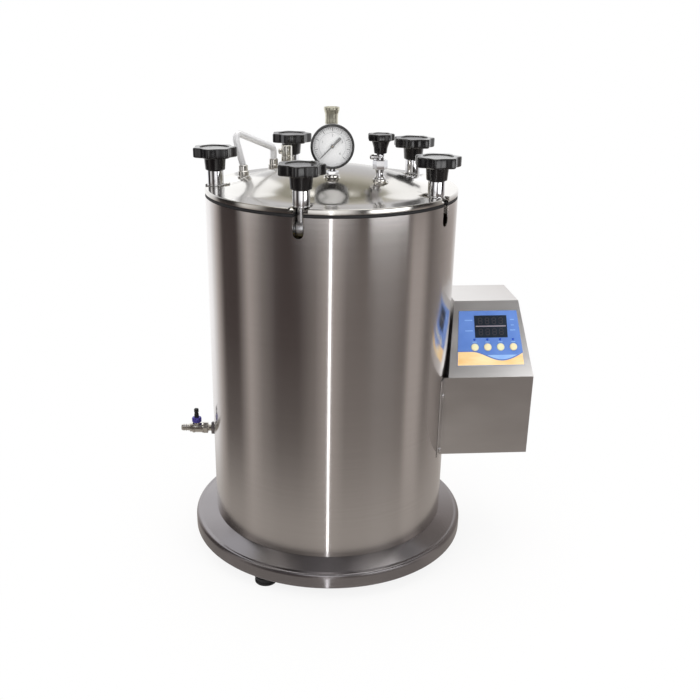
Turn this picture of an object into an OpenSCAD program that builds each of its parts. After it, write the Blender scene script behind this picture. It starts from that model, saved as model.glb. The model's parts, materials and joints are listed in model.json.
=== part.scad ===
// Top-loading benchtop autoclave: round steel jacket on a dished base, domed lid held by five
// swing bolts with star knobs, lid fittings, a drain valve and a sloped control box.
// Millimetres, +Z up, +X towards the control box, -Y towards the operator.

/* [Jacket and base] */
// Outer diameter of the jacket
jacket_d = 400; // [380:5:440]
// Height of the jacket above the base deck
jacket_h = 550; // [480:10:640]
// Sheet thickness of the jacket
jacket_wall = 1.2; // [0.8:0.1:2]
// Diameter of the base pan
base_d = 474; // [450:2:520]
// Height of the base pan
base_h = 35; // [30:1:45]
// Drop of the pan's top from the jacket out to its rim
deck_drop = 11; // [6:1:14]
// Edge radius of the pan's rim
rim_round = 9; // [5:1:10]
// Sheet thickness of the base pan
pan_wall = 2; // [1.5:0.5:3]
// Diameter of a rubber foot
foot_d = 36; // [28:2:44]
// Height of a rubber foot
foot_h = 20; // [14:1:28]
// Radius of the circle that the feet stand on
foot_circle_r = 212; // [190:2:214]
// Direction of the first foot
foot_angle = -119; // [-150:1:-100]

/* [Vessel] */
// Inner diameter of the pressure vessel
chamber_d = 300; // [280:5:304]
// Depth of the vessel below its flange
chamber_depth = 430; // [330:10:440]
// Wall thickness of the vessel
chamber_wall = 3; // [2:0.5:4]
// Thickness of the vessel's top flange
body_flange_t = 12; // [10:1:14]
// Thickness of the rubber gasket
gasket_t = 4; // [3:0.5:6]
// Diameter of the basket
basket_d = 262; // [220:2:270]
// Height of the basket
basket_h = 310; // [220:10:320]
// Height of the support grid above the vessel floor
grid_h = 52; // [48:1:60]

/* [Lid] */
// Thickness of the lid's flat flange
lid_t = 8; // [7:0.5:12]
// Radius at which the dome meets the flange
dome_r = 156; // [145:1:160]
// Height of the dome above the flange
dome_h = 31; // [22:1:40]
// Sheet thickness of the dome
dome_wall = 3; // [2:0.5:4]

/* [Clamps] */
// Number of clamps around the lid
clamps = 5; // [5:1:5]
// Direction of the first clamp
clamp_angle = -104; // [-110:1:-98]
// Inset of the bolt circle from the jacket's surface
bolt_inset = 17.5; // [16:0.5:22]
// Shank diameter of a swing bolt
shank_d = 11; // [9:0.5:12]
// Outer diameter of the swing bolt's eye
eye_d = 22; // [20:1:23]
// Thickness of the swing bolt's eye
eye_t = 12; // [10:0.5:13]
// Depth of the eye's pin below the jacket's top
pivot_drop = 19; // [18:0.5:22]
// Diameter of the clamp pin
pin_d = 8; // [6:0.5:9]
// Diameter of the chromed nut sleeve
sleeve_d = 25; // [22:0.5:28]
// Height of the chromed nut sleeve
sleeve_h = 22; // [18:1:30]
// Diameter of the star knob
knob_d = 70; // [56:2:80]
// Thickness of the star knob's head
knob_head_t = 15; // [12:1:20]
// Diameter of the star knob's skirt
knob_skirt_d = 30.5; // [28:0.5:34]
// Height of the star knob's skirt
knob_skirt_h = 20; // [14:1:26]
// Number of lobes on a star knob
knob_lobes = 7; // [5:1:8]

/* [Lid fittings] */
// Diameter of the gauge case
gauge_d = 66; // [60:1:80]
// Depth of the gauge case
gauge_depth = 28; // [24:1:36]
// Height of the gauge's centre above the dome's boss
gauge_rise = 43; // [42:1:60]
// Distance of the gauge in front of the lid's centre
gauge_y = 72; // [50:2:80]
// Diameter of the safety valve's barrel
safety_d = 23; // [20:0.5:28]
// Height of the safety valve above its boss
safety_h = 84; // [80:1:100]
// Diameter of the release valve's knob
release_knob_d = 41; // [32:1:50]
// Height of the release valve above its boss
release_h = 66; // [64:1:80]
// Diameter of the lid handle's bar
handle_d = 11; // [9:0.5:13]
// Height of the lid handle above the flange
handle_h = 76; // [60:1:90]

/* [Control box] */
// Width of the box
box_w = 142; // [130:2:170]
// Height of the box's upright front
box_low_h = 139; // [110:1:160]
// Length of the sloped panel
box_slope = 130; // [120:1:150]
// Angle of the sloped panel from level
box_tilt = 58; // [50:1:66]
// Depth of the box's flat top
box_top_depth = 93; // [80:1:120]
// Narrowing of the panel's top on each side
box_taper = 17; // [8:1:20]
// Sheet thickness of the box
box_wall = 1.2; // [1:0.1:2]
// Turn of the box about the upright axis
box_yaw = 4; // [0:1:8]
// Height of the box's floor above the base deck
box_floor = 122; // [80:2:160]
// Width of the membrane panel at its lower edge
membrane_w = 113; // [104:1:118]
// Height of the membrane panel
membrane_h = 93; // [88:1:96]
// Diameter of a push button
button_d = 12.5; // [9:0.5:14]

/* [Drain valve] */
// Height of the drain valve above the base deck
drain_z = 136; // [128:1:200]
// Diameter of the drain valve's body
drain_d = 19; // [16:0.5:24]
// Diameter of the hose nipple
nipple_d = 12.4; // [9:0.2:16]

/* [Hidden] */
$fn = 96;
// Gap between parts that move past each other
run_gap = 0.3;
// Radial clearance of a pin in its bore
pin_fit = 0.06;
// Radial clearance of the bolt in the sleeve and the lid's notch
bolt_fit = 0.5;
// Gap between a fixed part and a curved face that it follows
skin_gap = 0.3;

jacket_r = jacket_d / 2;
base_r = base_d / 2;
chamber_r = chamber_d / 2;
z_deck = foot_h + base_h;
z_rim = z_deck + jacket_h;
z_lid = z_rim + gasket_t + run_gap;
z_flange = z_lid + lid_t;
z_floor = z_rim - chamber_depth;
z_pivot = z_rim - pivot_drop;
z_drain = z_deck + drain_z;
z_box = z_deck + box_floor;
bolt_r = jacket_r - bolt_inset;

// Drain valve: lengths of its parts, outwards from the jacket
nut_len = 6;
neck_len = 6;
body_len = 32;
nipple_len = 15;
drain_reach = jacket_r + nut_len + neck_len + body_len + nipple_len;

// Control box: the front right lower corner, measured from the vessel's axis
box_right = 337;
box_front = -60;
box_rise = box_slope * sin(box_tilt);
box_run = box_slope * cos(box_tilt);
box_h = box_low_h + box_rise;
box_depth = box_run + box_top_depth;

// The vessel's axis is set so that the part's overall width is centred on the origin
vessel_x = (drain_reach - box_right) / 2;

// Dome: sphere through the foot circle and the apex
dome_rho = (dome_r * dome_r + dome_h * dome_h) / (2 * dome_h);
dome_cz = z_flange + dome_h - dome_rho;
function dome_z(r) = dome_cz + sqrt(dome_rho * dome_rho - r * r);

boss_h = 3;
gauge_boss_z = dome_z(gauge_y) + boss_h;
gauge_z = gauge_boss_z + gauge_rise;
safety_y = 60;
safety_boss_z = dome_z(safety_y) + boss_h;
release_x = 72;
release_y = -69;
release_boss_z = dome_z(norm([release_x, release_y])) + boss_h;
vent_x = -75;
vent_y = 115;
vent_boss_z = dome_z(norm([vent_x, vent_y])) + boss_h + 2;
boss_d = 24;
port_d = 10;
spigot_d = port_d - 2 * pin_fit;
spigot_len = 9;

// Clamps
eye_gap = 0.4;
lug_t = 5;
slot_w = 16;
washer_t = 2;
washer_d = sleeve_d + 1;
z_washer = z_flange + run_gap;
z_sleeve = z_washer + washer_t + run_gap;
z_knob = z_sleeve + sleeve_h;
z_knob_head = z_knob + knob_skirt_h;
z_knob_top = z_knob_head + knob_head_t;
bolt_top = z_knob_head + 6;
seat_r = z_flange - z_pivot;

// ---------------------------------------------------------------- placing

module at_vessel() {
    translate([vessel_x, 0, 0]) children();
}

// X points outwards along the clamp's own radius, from the bolt circle
module at_clamp(k) {
    at_vessel() rotate(clamp_angle + (k - 1) * 360 / clamps) translate([bolt_r, 0, 0]) children();
}

module at_clamps() {
    for (k = [1:clamps]) at_clamp(k) children();
}

module at_feet() {
    at_vessel() for (k = [0:2]) rotate(foot_angle + k * 120) translate([foot_circle_r, 0, 0]) children();
}

// Origin at the box's front right lower corner, X to the right, Y inwards from the front
module at_box() {
    at_vessel() translate([box_right, box_front, z_box]) rotate(box_yaw) children();
}

// Origin on the crease at the box's right edge, X to the right, Y up the slope, Z out of the panel
module at_panel() {
    at_box() translate([0, 0, box_low_h]) rotate([box_tilt, 0, 0]) children();
}

// A round bar from one point to another, with a ball at its far end
module bar(a, b, d) {
    v = b - a;
    length = norm(v);
    ball_d = d + 1.2;
    translate(b) sphere(d = ball_d);
    translate(a) rotate([0, acos(v[2] / length), atan2(v[1], v[0])]) cylinder(d = d, h = length);
}

module ring(outer_d, inner_d, h) {
    difference() {
        cylinder(d = outer_d, h = h);
        translate([0, 0, -1]) cylinder(d = inner_d, h = h + 2);
    }
}

// Lobed grip: a round plate with a ring of round lobes
module star(d, h, lobes) {
    lobe_d = d * 0.24;
    linear_extrude(h) {
        circle(d = d * 0.86);
        for (i = [0:lobes - 1]) rotate(i * 360 / lobes) translate([(d - lobe_d) / 2, 0]) circle(d = lobe_d);
    }
}

// ---------------------------------------------------------------- base

// The pan's outside, moved in by a wall: a cone for the deck over a rim with a rounded edge
module pan_body(inset) {
    shoulder_r = base_r - rim_round;
    shoulder_z = z_deck - deck_drop - rim_round;
    lower = foot_h - (inset > 0 ? 1 : 0);
    cone_run = shoulder_r + 2 - jacket_r;
    cone_h = cone_run * deck_drop / (shoulder_r - jacket_r);
    cone_top = z_deck - inset;
    translate([0, 0, cone_top - cone_h]) cylinder(r1 = jacket_r + cone_run, r2 = jacket_r, h = cone_h);
    translate([0, 0, lower + 1]) cylinder(r = shoulder_r, h = z_deck - deck_drop - inset - 1.4 - lower);
    translate([0, 0, lower]) cylinder(r = base_r - inset, h = shoulder_z - lower);
    rotate_extrude() translate([shoulder_r, shoulder_z]) circle(r = rim_round - inset);
}

// Pressed steel pan, open underneath
module base_pan() {
    color("gray") at_vessel() difference() {
        pan_body(0);
        pan_body(pan_wall);
    }
}

floor_t = 2;
foot_bolt_d = 8;
foot_bolt_hole_d = 8.4;

// Plate that closes the pan and carries the feet
module base_floor() {
    color("dimgray") difference() {
        at_vessel() translate([0, 0, foot_h]) cylinder(r = base_r - pan_wall - skin_gap, h = floor_t);
        at_feet() translate([0, 0, foot_h - 1]) cylinder(d = foot_bolt_hole_d, h = floor_t + 2);
    }
}

foot_groove = 3;
foot_recess_d = 18;
foot_recess_h = 10;

// Ribbed rubber feet
module feet() {
    rib_h = foot_h / 5;
    color("black") at_feet() difference() {
        union() {
            cylinder(d = foot_d - foot_groove, h = foot_h);
            for (i = [0:2]) translate([0, 0, i * 2 * rib_h]) cylinder(d = foot_d, h = rib_h);
        }
        translate([0, 0, -1]) cylinder(d = foot_bolt_hole_d, h = foot_h + 2);
        translate([0, 0, -1]) cylinder(d = foot_recess_d, h = foot_recess_h + 1);
    }
}

// Bolts that hold the feet, with their nuts
module foot_bolts() {
    head_t = 5;
    nut_t = 6;
    top = foot_h + floor_t;
    color("silver") at_feet() {
        translate([0, 0, foot_recess_h - head_t]) cylinder(d = 14, h = head_t);
        translate([0, 0, foot_recess_h - 1]) cylinder(d = foot_bolt_d, h = top + nut_t + 3 - foot_recess_h);
        translate([0, 0, top]) cylinder(d = 15, h = nut_t, $fn = 6);
    }
}

// ---------------------------------------------------------------- jacket and vessel

drain_pipe_d = 12;
conduit_d = 16;
conduit_z = z_box + 60;
strip_t = 1.2;
box_screw_d = 4;
box_screw_z = [z_box + 12, z_box + 110];
box_screw_angles = [-22.6, 28.8];
strip_half_w = 9.2;

// Everything that passes through the jacket: drain pipe, conduit and box screws
module jacket_holes() {
    translate([-jacket_r, 0, z_drain]) rotate([0, 90, 0])
        cylinder(d = drain_pipe_d + 1, h = 20, center = true);
    translate([jacket_r, 0, conduit_z]) rotate([0, 90, 0])
        cylinder(d = conduit_d + 2 * skin_gap, h = 30, center = true);
    for (a = box_screw_angles, z = box_screw_z)
        rotate(a) translate([jacket_r, 0, z]) rotate([0, 90, 0])
            cylinder(d = box_screw_d + 0.2, h = 20, center = true);
}

// Rolled outer jacket, with a round-bottomed slot at each clamp
module outer_jacket() {
    slot_low = z_pivot - eye_d / 2 - 0.4 + slot_w / 2;
    color("lightgray") difference() {
        at_vessel() translate([0, 0, z_deck]) ring(jacket_d, jacket_d - 2 * jacket_wall, jacket_h);
        at_vessel() jacket_holes();
        at_clamps() {
            translate([0, 0, slot_low]) rotate([0, 90, 0]) cylinder(d = slot_w, h = 30);
            translate([0, -slot_w / 2, slot_low]) cube([30, slot_w, z_rim - slot_low + 1]);
        }
    }
}

corner_r = 25;

// Half section of the vessel's bore, grown by its wall
module bore_half(grow) {
    top = grow > 0 ? z_rim : z_rim + 1;
    translate([0, z_floor - grow]) square([chamber_r - corner_r, top - z_floor + grow]);
    translate([0, z_floor + corner_r]) square([chamber_r + grow, top - z_floor - corner_r]);
    translate([chamber_r - corner_r, z_floor + corner_r]) circle(r = corner_r + grow);
}

notch_w = eye_t + 2 * 1;
heater_r = 105;
heater_d = 9;
heater_leg_angles = [-8, 8];
probe_angle = -14;
probe_d = 7;
probe_z = z_floor + 40;

// Open notch for a bolt: a rounded slot that runs out through the rim
module notch(w, inner_x, z, h) {
    translate([inner_x + w / 2, 0, z]) cylinder(d = w, h = h);
    translate([inner_x + w / 2, -w / 2, z]) cube([40, w, h]);
}

// Pressure vessel with its notched top flange
module vessel() {
    flange_r = jacket_r - jacket_wall - skin_gap;
    color("silver") difference() {
        at_vessel() rotate_extrude() intersection() {
            difference() {
                union() {
                    bore_half(chamber_wall);
                    translate([0, z_rim - body_flange_t]) square([flange_r, body_flange_t]);
                }
                bore_half(0);
            }
            square([jacket_r, z_rim]);
        }
        at_clamps() notch(notch_w, -eye_d / 2 - 1, z_rim - body_flange_t - 1, body_flange_t + 2);
        at_vessel() {
            translate([-chamber_r, 0, z_drain]) rotate([0, 90, 0])
                cylinder(d = drain_pipe_d + 2 * pin_fit, h = 30, center = true);
            rotate(probe_angle) translate([chamber_r, 0, probe_z]) rotate([0, 90, 0])
                cylinder(d = probe_d + 2 * pin_fit, h = 20, center = true);
            for (a = heater_leg_angles) rotate(a) translate([heater_r, 0, z_floor - chamber_wall - 1])
                cylinder(d = heater_d + 2 * pin_fit, h = chamber_wall + 2);
        }
    }
}

// Mineral wool sleeve around the vessel
module insulation() {
    low = z_floor - 40;
    high = z_pivot - eye_d / 2 - 8;
    color("beige") difference() {
        at_vessel() translate([0, 0, low])
            ring(jacket_d - 2 * jacket_wall - 1, 2 * (chamber_r + chamber_wall) + 1, high - low);
        at_vessel() {
            translate([-jacket_r, 0, z_drain]) rotate([0, 90, 0])
                cylinder(d = drain_pipe_d + 1, h = 120, center = true);
            translate([jacket_r, 0, conduit_z]) rotate([0, 90, 0])
                cylinder(d = conduit_d + 1, h = 60, center = true);
            rotate(probe_angle) translate([chamber_r + 10, 0, probe_z]) rotate([0, 90, 0])
                cylinder(d = probe_d + 8, h = 50, center = true);
            for (a = box_screw_angles, z = box_screw_z) rotate(a) translate([jacket_r, 0, z])
                rotate([0, 90, 0]) cylinder(d = 10, h = 30, center = true);
        }
    }
}

// Flat rubber gasket, notched for the bolts
module gasket() {
    color("black") difference() {
        at_vessel() translate([0, 0, z_rim]) ring(jacket_d - 1, chamber_d + 8, gasket_t);
        at_clamps() notch(shank_d + 2 * bolt_fit + 1, -shank_d / 2 - 1.2, z_rim - 1, gasket_t + 2);
    }
}

// Pairs of lugs under the flange that carry the clamp pins
module clamp_lugs() {
    back = bolt_r - chamber_r - chamber_wall - 1;
    end_r = 10;
    top = z_rim - body_flange_t;
    color("silver") at_clamps() for (side = [-1, 1])
        translate([0, side * (eye_t / 2 + eye_gap + lug_t / 2), 0]) difference() {
            translate([0, lug_t / 2, 0]) rotate([90, 0, 0]) linear_extrude(lug_t) {
                translate([-back, z_pivot - end_r]) square([back, top - z_pivot + end_r]);
                intersection() {
                    translate([0, z_pivot]) circle(r = end_r);
                    translate([-end_r, z_pivot - end_r]) square([2 * end_r, top - z_pivot + end_r]);
                }
            }
            translate([0, 0, z_pivot]) rotate([90, 0, 0])
                cylinder(d = pin_d + 2 * pin_fit, h = 20, center = true);
        }
}

// Pins that the swing bolts turn on
module clamp_pins() {
    color("silver") at_clamps() translate([0, 0, z_pivot]) rotate([90, 0, 0])
        cylinder(d = pin_d, h = eye_t + 2 * (eye_gap + lug_t), center = true);
}

// Immersion heater: one loop in the sump, two legs and the nuts below the vessel's floor
module heater_element() {
    loop_z = z_floor + 20;
    gap_angle = heater_leg_angles[1];
    nut_t = 8;
    color("dimgray") at_vessel() {
        translate([0, 0, loop_z]) rotate(gap_angle) rotate_extrude(angle = 360 - 2 * gap_angle)
            translate([heater_r, 0]) circle(d = heater_d - 1);
        for (a = heater_leg_angles) rotate(a) translate([heater_r, 0, 0]) {
            translate([0, 0, z_floor - 30]) cylinder(d = heater_d, h = loop_z - z_floor + 30 + heater_d / 2);
            translate([0, 0, z_floor - chamber_wall - nut_t]) cylinder(d = 18, h = nut_t, $fn = 6);
        }
    }
}

grid_t = 2;

// Perforated grid on three legs above the heater
module support_grid() {
    grid_r = chamber_r - 4;
    leg_d = 8;
    leg_r = 132;
    color("silver") at_vessel() {
        difference() {
            translate([0, 0, z_floor + grid_h]) cylinder(r = grid_r, h = grid_t);
            for (n = [1:4], i = [0:6 * n - 1])
                rotate(i * 60 / n) translate([n * 27, 0, z_floor + grid_h - 1])
                    cylinder(d = 12, h = grid_t + 2);
            translate([0, 0, z_floor + grid_h - 1]) cylinder(d = 12, h = grid_t + 2);
        }
        for (i = [0:2]) rotate(60 + i * 120) translate([leg_r - 10, 0, z_floor])
            cylinder(d = leg_d, h = grid_h + grid_t / 2);
    }
}

basket_wall = 1.5;
z_basket = z_floor + grid_h + grid_t + run_gap;

// Deep basket with a rolled rim and a folded bail
module basket() {
    rim_d = 6;
    bail_r = basket_d / 2 - 14;
    bail_z = z_basket + basket_h - 16;
    color("silver") at_vessel() {
        difference() {
            translate([0, 0, z_basket]) cylinder(d = basket_d, h = basket_h);
            translate([0, 0, z_basket + basket_wall]) cylinder(d = basket_d - 2 * basket_wall, h = basket_h);
            for (n = [1:3], i = [0:6 * n - 1])
                rotate(i * 60 / n) translate([n * 32, 0, z_basket - 1]) cylinder(d = 10, h = basket_wall + 2);
        }
        translate([0, 0, z_basket + basket_h]) rotate_extrude()
            translate([basket_d / 2 - basket_wall / 2, 0]) circle(d = rim_d);
        translate([0, 0, bail_z]) rotate([0, 0, 20]) rotate_extrude(angle = 160)
            translate([bail_r, 0]) circle(d = 5);
        for (a = [20, 160]) rotate(a) translate([bail_r, 0, bail_z]) rotate([0, 90, 0])
            cylinder(d = 4, h = basket_d / 2 - bail_r - basket_wall / 2);
    }
}

// Sensor pocket through the vessel's wall
module temperature_probe() {
    color("silver") at_vessel() rotate(probe_angle) translate([chamber_r - 12, 0, probe_z])
        rotate([0, 90, 0]) {
        cylinder(d = probe_d, h = 34);
        translate([0, 0, 12 + chamber_wall]) cylinder(d = 13, h = 8, $fn = 6);
    }
}

// ---------------------------------------------------------------- drain

drain_bore_d = 7;

// Axis of the drain, pointing outwards from the jacket's surface
module at_drain() {
    at_vessel() translate([-jacket_r, 0, z_drain]) rotate([0, -90, 0]) children();
}

// Pipe from the vessel, with the lock nut outside the jacket
module drain_pipe() {
    inner = jacket_r - chamber_r - 1;
    color("silver") at_drain() difference() {
        union() {
            translate([0, 0, -inner]) cylinder(d = drain_pipe_d, h = inner + nut_len + neck_len);
            translate([0, 0, skin_gap]) cylinder(d = 24, h = nut_len - skin_gap, $fn = 6);
        }
        translate([0, 0, -inner - 1]) cylinder(d = drain_bore_d, h = inner + nut_len + neck_len + 2);
    }
}

drain_stem_d = 5;
stem_z = nut_len + neck_len + body_len * 0.62;
hub_drop = 11;

// Ball valve body with its barbed hose nipple
module drain_valve_body() {
    start = nut_len + neck_len;
    color("silver") at_drain() difference() {
        union() {
            translate([0, 0, start]) cylinder(d = drain_d + 2, h = 8, $fn = 6);
            translate([0, 0, start + 8]) cylinder(d = drain_d, h = body_len - 13);
            translate([0, 0, start + body_len - 5]) cylinder(d = drain_d - 3, h = 5);
            translate([0, 0, start + body_len]) cylinder(d = nipple_d - 1.6, h = nipple_len);
            for (i = [0:2]) translate([0, 0, start + body_len + nipple_len - 3 - i * 4.5])
                cylinder(d = nipple_d, h = 3);
            translate([0, 0, stem_z]) rotate([0, 90, 0]) cylinder(d = 12, h = hub_drop - run_gap);
        }
        translate([0, 0, start - 1]) cylinder(d = drain_bore_d, h = body_len + nipple_len + 2);
        translate([0, 0, stem_z]) rotate([0, 90, 0]) cylinder(d = drain_stem_d + 2 * pin_fit, h = 20);
    }
}

// Packing hub and stub handle on the valve's stem
module drain_valve_handle() {
    color("slateblue") at_vessel() translate([-jacket_r - stem_z, 0, z_drain]) {
        translate([0, 0, drain_bore_d / 2 + 0.5]) cylinder(d = drain_stem_d, h = hub_drop);
        translate([0, 0, hub_drop]) cylinder(d = 17, h = 9);
        translate([0, 0, hub_drop + 8]) cylinder(d = 8, h = 17);
    }
}

// ---------------------------------------------------------------- control box

// Side view of the box, Y across and Z up, moved in by a wall
function side_view(i) = [
    [i, i > 0 ? -1 : 0],
    [i, box_low_h - i * tan((90 - box_tilt) / 2)],
    [box_run + i * tan(box_tilt / 2), box_h - i],
    [box_depth - i, box_h - i],
    [box_depth - i, i > 0 ? -1 : 0]
];

// Front view of the box, X across and Z up, moved in by a wall
lean = atan(box_taper / box_rise);
function front_view(i) = [
    [-i, i > 0 ? -1 : 0],
    [-i, box_low_h - i * tan(lean / 2)],
    [-box_taper - i * tan(45 - lean / 2), box_h - i],
    [-box_w + box_taper + i * tan(45 - lean / 2), box_h - i],
    [-box_w + i, box_low_h - i * tan(lean / 2)],
    [-box_w + i, i > 0 ? -1 : 0]
];

module box_solid(i) {
    intersection() {
        translate([1, 0, 0]) rotate([90, 0, -90]) mirror([1, 0, 0])
            linear_extrude(box_w + 2) polygon(side_view(i));
        translate([0, box_depth + 1, 0]) rotate([90, 0, 0]) linear_extrude(box_depth + 2)
            polygon(front_view(i));
    }
}

panel_t = 0.8;
panel_low = 19.5;
panel_x = -box_w / 2 + 1;
membrane_top_w = 97;
window_w = 55;
window_h = 38;
window_x = panel_x + 3.5;
window_y = panel_low + 66;
button_y = panel_low + 31;
button_pitch = 21.6;
button_x = [for (i = [0:3]) panel_x - 25.3 + i * button_pitch];
led_y = panel_low + 44;
led_d = 4;

// Openings in the panel for the display, the lamps and the buttons
module panel_holes(grow) {
    translate([window_x - window_w / 2 - grow, window_y - window_h / 2 - grow, -10])
        cube([window_w + 2 * grow, window_h + 2 * grow, 20]);
    for (x = button_x) {
        translate([x, button_y, -10]) cylinder(d = button_d + 2 * run_gap, h = 20);
        translate([x, led_y, -10]) cylinder(d = led_d + 0.2, h = 20);
    }
}

module jacket_clearance() {
    at_vessel() translate([0, 0, z_deck]) cylinder(r = jacket_r + skin_gap, h = jacket_h);
}

gland_d = 16;
gland_x = -40;
gland_z = 30;

// Folded sheet shell, open underneath and where the jacket meets it
module box_shell() {
    color("silver") difference() {
        at_box() difference() {
            box_solid(0);
            box_solid(box_wall);
            translate([gland_x, box_depth, gland_z]) rotate([90, 0, 0])
                cylinder(d = gland_d + 2 * pin_fit, h = 10, center = true);
        }
        at_panel() panel_holes(0);
        jacket_clearance();
    }
}

plate_t = 1.5;

// Plate that closes the box from below
module box_floor_plate() {
    inner = box_wall + skin_gap;
    color("silver") difference() {
        at_box() translate([inner - box_w, inner, 0])
            cube([box_w - 2 * inner, box_depth - 2 * inner, plate_t]);
        jacket_clearance();
    }
}

tab_len = 16;

// Tabs that carry the box: flat in line with its front and back, curved along the jacket
module box_flange() {
    strip_r = jacket_r + skin_gap;
    color("silver") difference() {
        at_vessel() translate([0, 0, z_box]) linear_extrude(box_low_h) {
            difference() {
                translate([box_right, box_front]) rotate(box_yaw) for (y = [0, box_depth - strip_t])
                    translate([-box_w - tab_len, y]) square([tab_len, strip_t]);
                circle(r = strip_r + strip_t / 2);
            }
            for (a = box_screw_angles) intersection() {
                difference() {
                    circle(r = strip_r + strip_t);
                    circle(r = strip_r);
                }
                rotate(a) translate([jacket_r - 5, -strip_half_w]) square([20, 2 * strip_half_w]);
            }
        }
        at_vessel() for (a = box_screw_angles, z = box_screw_z)
            rotate(a) translate([jacket_r, 0, z]) rotate([0, 90, 0])
                cylinder(d = box_screw_d + 0.2, h = 20, center = true);
    }
}

// Round-headed screws through the tabs into the jacket
module box_screws() {
    color("silver") at_vessel() for (a = box_screw_angles, z = box_screw_z)
        rotate(a) translate([jacket_r + skin_gap + strip_t + 0.1, 0, z]) rotate([0, 90, 0]) {
            cylinder(d = 8, h = 2);
            translate([0, 0, 1]) cylinder(d = 6, h = 2);
            translate([0, 0, -8]) cylinder(d = box_screw_d, h = 9);
        }
}

// Printed membrane with its window and button openings
module membrane_panel() {
    top = panel_low + membrane_h;
    color("cornflowerblue") at_panel() difference() {
        linear_extrude(panel_t) polygon([
            [panel_x - membrane_w / 2, panel_low], [panel_x + membrane_w / 2, panel_low],
            [panel_x + membrane_top_w / 2, top], [panel_x - membrane_top_w / 2, top]
        ]);
        panel_holes(0);
    }
}

// Dark display window, flush in the membrane
module display_window() {
    color("darkslategray") at_panel() translate([window_x - window_w / 2 + 0.2, window_y - window_h / 2 + 0.2, -4])
        cube([window_w - 0.4, window_h - 0.4, 4 + panel_t]);
}

// Four indicator lamps above the buttons
module indicator_leds() {
    color("navy") at_panel() for (x = button_x) translate([x, led_y, -6]) {
        cylinder(d = led_d, h = 6 + panel_t);
        cylinder(d = led_d + 1.4, h = 3);
    }
}

button_stand = 1.4;
button_travel = 0.5;

// A push button: cap through the panel, with a collar behind it
module button(i) {
    color("khaki") at_panel() translate([button_x[i - 1], button_y, -4]) {
        cylinder(d = button_d, h = 4 + panel_t + button_stand);
        cylinder(d = button_d + 2.4, h = 4 - box_wall - run_gap);
    }
}

board_z = -14;
board_t = 1.6;

// Controller board behind the panel, with its switches, display module and terminal strip
module controller_board() {
    color("green") at_panel() translate([panel_x, 0, board_z]) {
        translate([-48, panel_low, 0]) cube([96, membrane_h - 6, board_t]);
        for (x = button_x) translate([x - panel_x - 3, button_y - 3, board_t])
            cube([6, 6, -board_z - board_t - 4 - button_travel - run_gap]);
        for (x = button_x) translate([x - panel_x, led_y, board_t])
            cylinder(d = 3, h = -board_z - board_t - 6);
        translate([window_x - panel_x - 22, window_y - 16, board_t]) cube([44, 32, -board_z - board_t - 4]);
        for (sx = [-44, 44], sy = [panel_low + 5, panel_low + membrane_h - 11])
            translate([sx, sy, board_t]) cylinder(d = 5, h = -board_z - board_t - box_wall);
        translate([-40, panel_low + 10, -12]) cube([80, 12, 12]);
    }
}

// Mains transformer on the box's floor
module transformer() {
    color("saddlebrown") at_box() translate([-68, 58, plate_t]) {
        cube([54, 46, 8]);
        translate([4, 3, 8]) cube([46, 40, 30]);
        translate([12, -4, 12]) cube([30, 54, 22]);
    }
}

// Mains cable gland in the box's back
module cable_gland() {
    color("black") at_box() translate([gland_x, box_depth, gland_z]) rotate([-90, 0, 0]) difference() {
        union() {
            translate([0, 0, -10]) cylinder(d = gland_d, h = 11);
            cylinder(d = 22, h = 6, $fn = 6);
            translate([0, 0, 6]) cylinder(d = 17, h = 7);
            translate([0, 0, -box_wall - 5]) cylinder(d = 22, h = 5, $fn = 6);
        }
        translate([0, 0, -11]) cylinder(d = 8, h = 26);
    }
}

// Wiring conduit between the jacket and the box
module box_conduit() {
    color("black") at_vessel() translate([jacket_r - 14, 0, conduit_z]) rotate([0, 90, 0]) difference() {
        union() {
            cylinder(d = conduit_d, h = 34);
            translate([0, 0, 14 + 1.5]) cylinder(d = conduit_d + 6, h = 5);
            translate([0, 0, 14 - jacket_wall - 5.5]) cylinder(d = conduit_d + 0.6, h = 4);
        }
        translate([0, 0, -1]) cylinder(d = conduit_d - 4, h = 36);
    }
}

// ---------------------------------------------------------------- lid

handle_pads = [[-143, 46], [-97, 110]];
handle_pad_d = 20;
function pad_z(i) = dome_z(norm(handle_pads[i])) + 4;

// Half section of the lid: flat flange and hollow dome
module lid_half() {
    difference() {
        union() {
            translate([0, z_lid]) square([jacket_r, lid_t]);
            intersection() {
                translate([0, dome_cz]) circle(r = dome_rho);
                translate([0, z_lid]) square([dome_r + 8, dome_h + lid_t + 1]);
            }
        }
        intersection() {
            translate([0, dome_cz]) circle(r = dome_rho - dome_wall);
            translate([0, z_lid - 1]) square([chamber_r - 4, dome_h + lid_t + 2]);
        }
    }
}

module boss(x, y, d, top) {
    translate([x, y, top - boss_h - 8]) cylinder(d = d, h = boss_h + 8);
}

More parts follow.
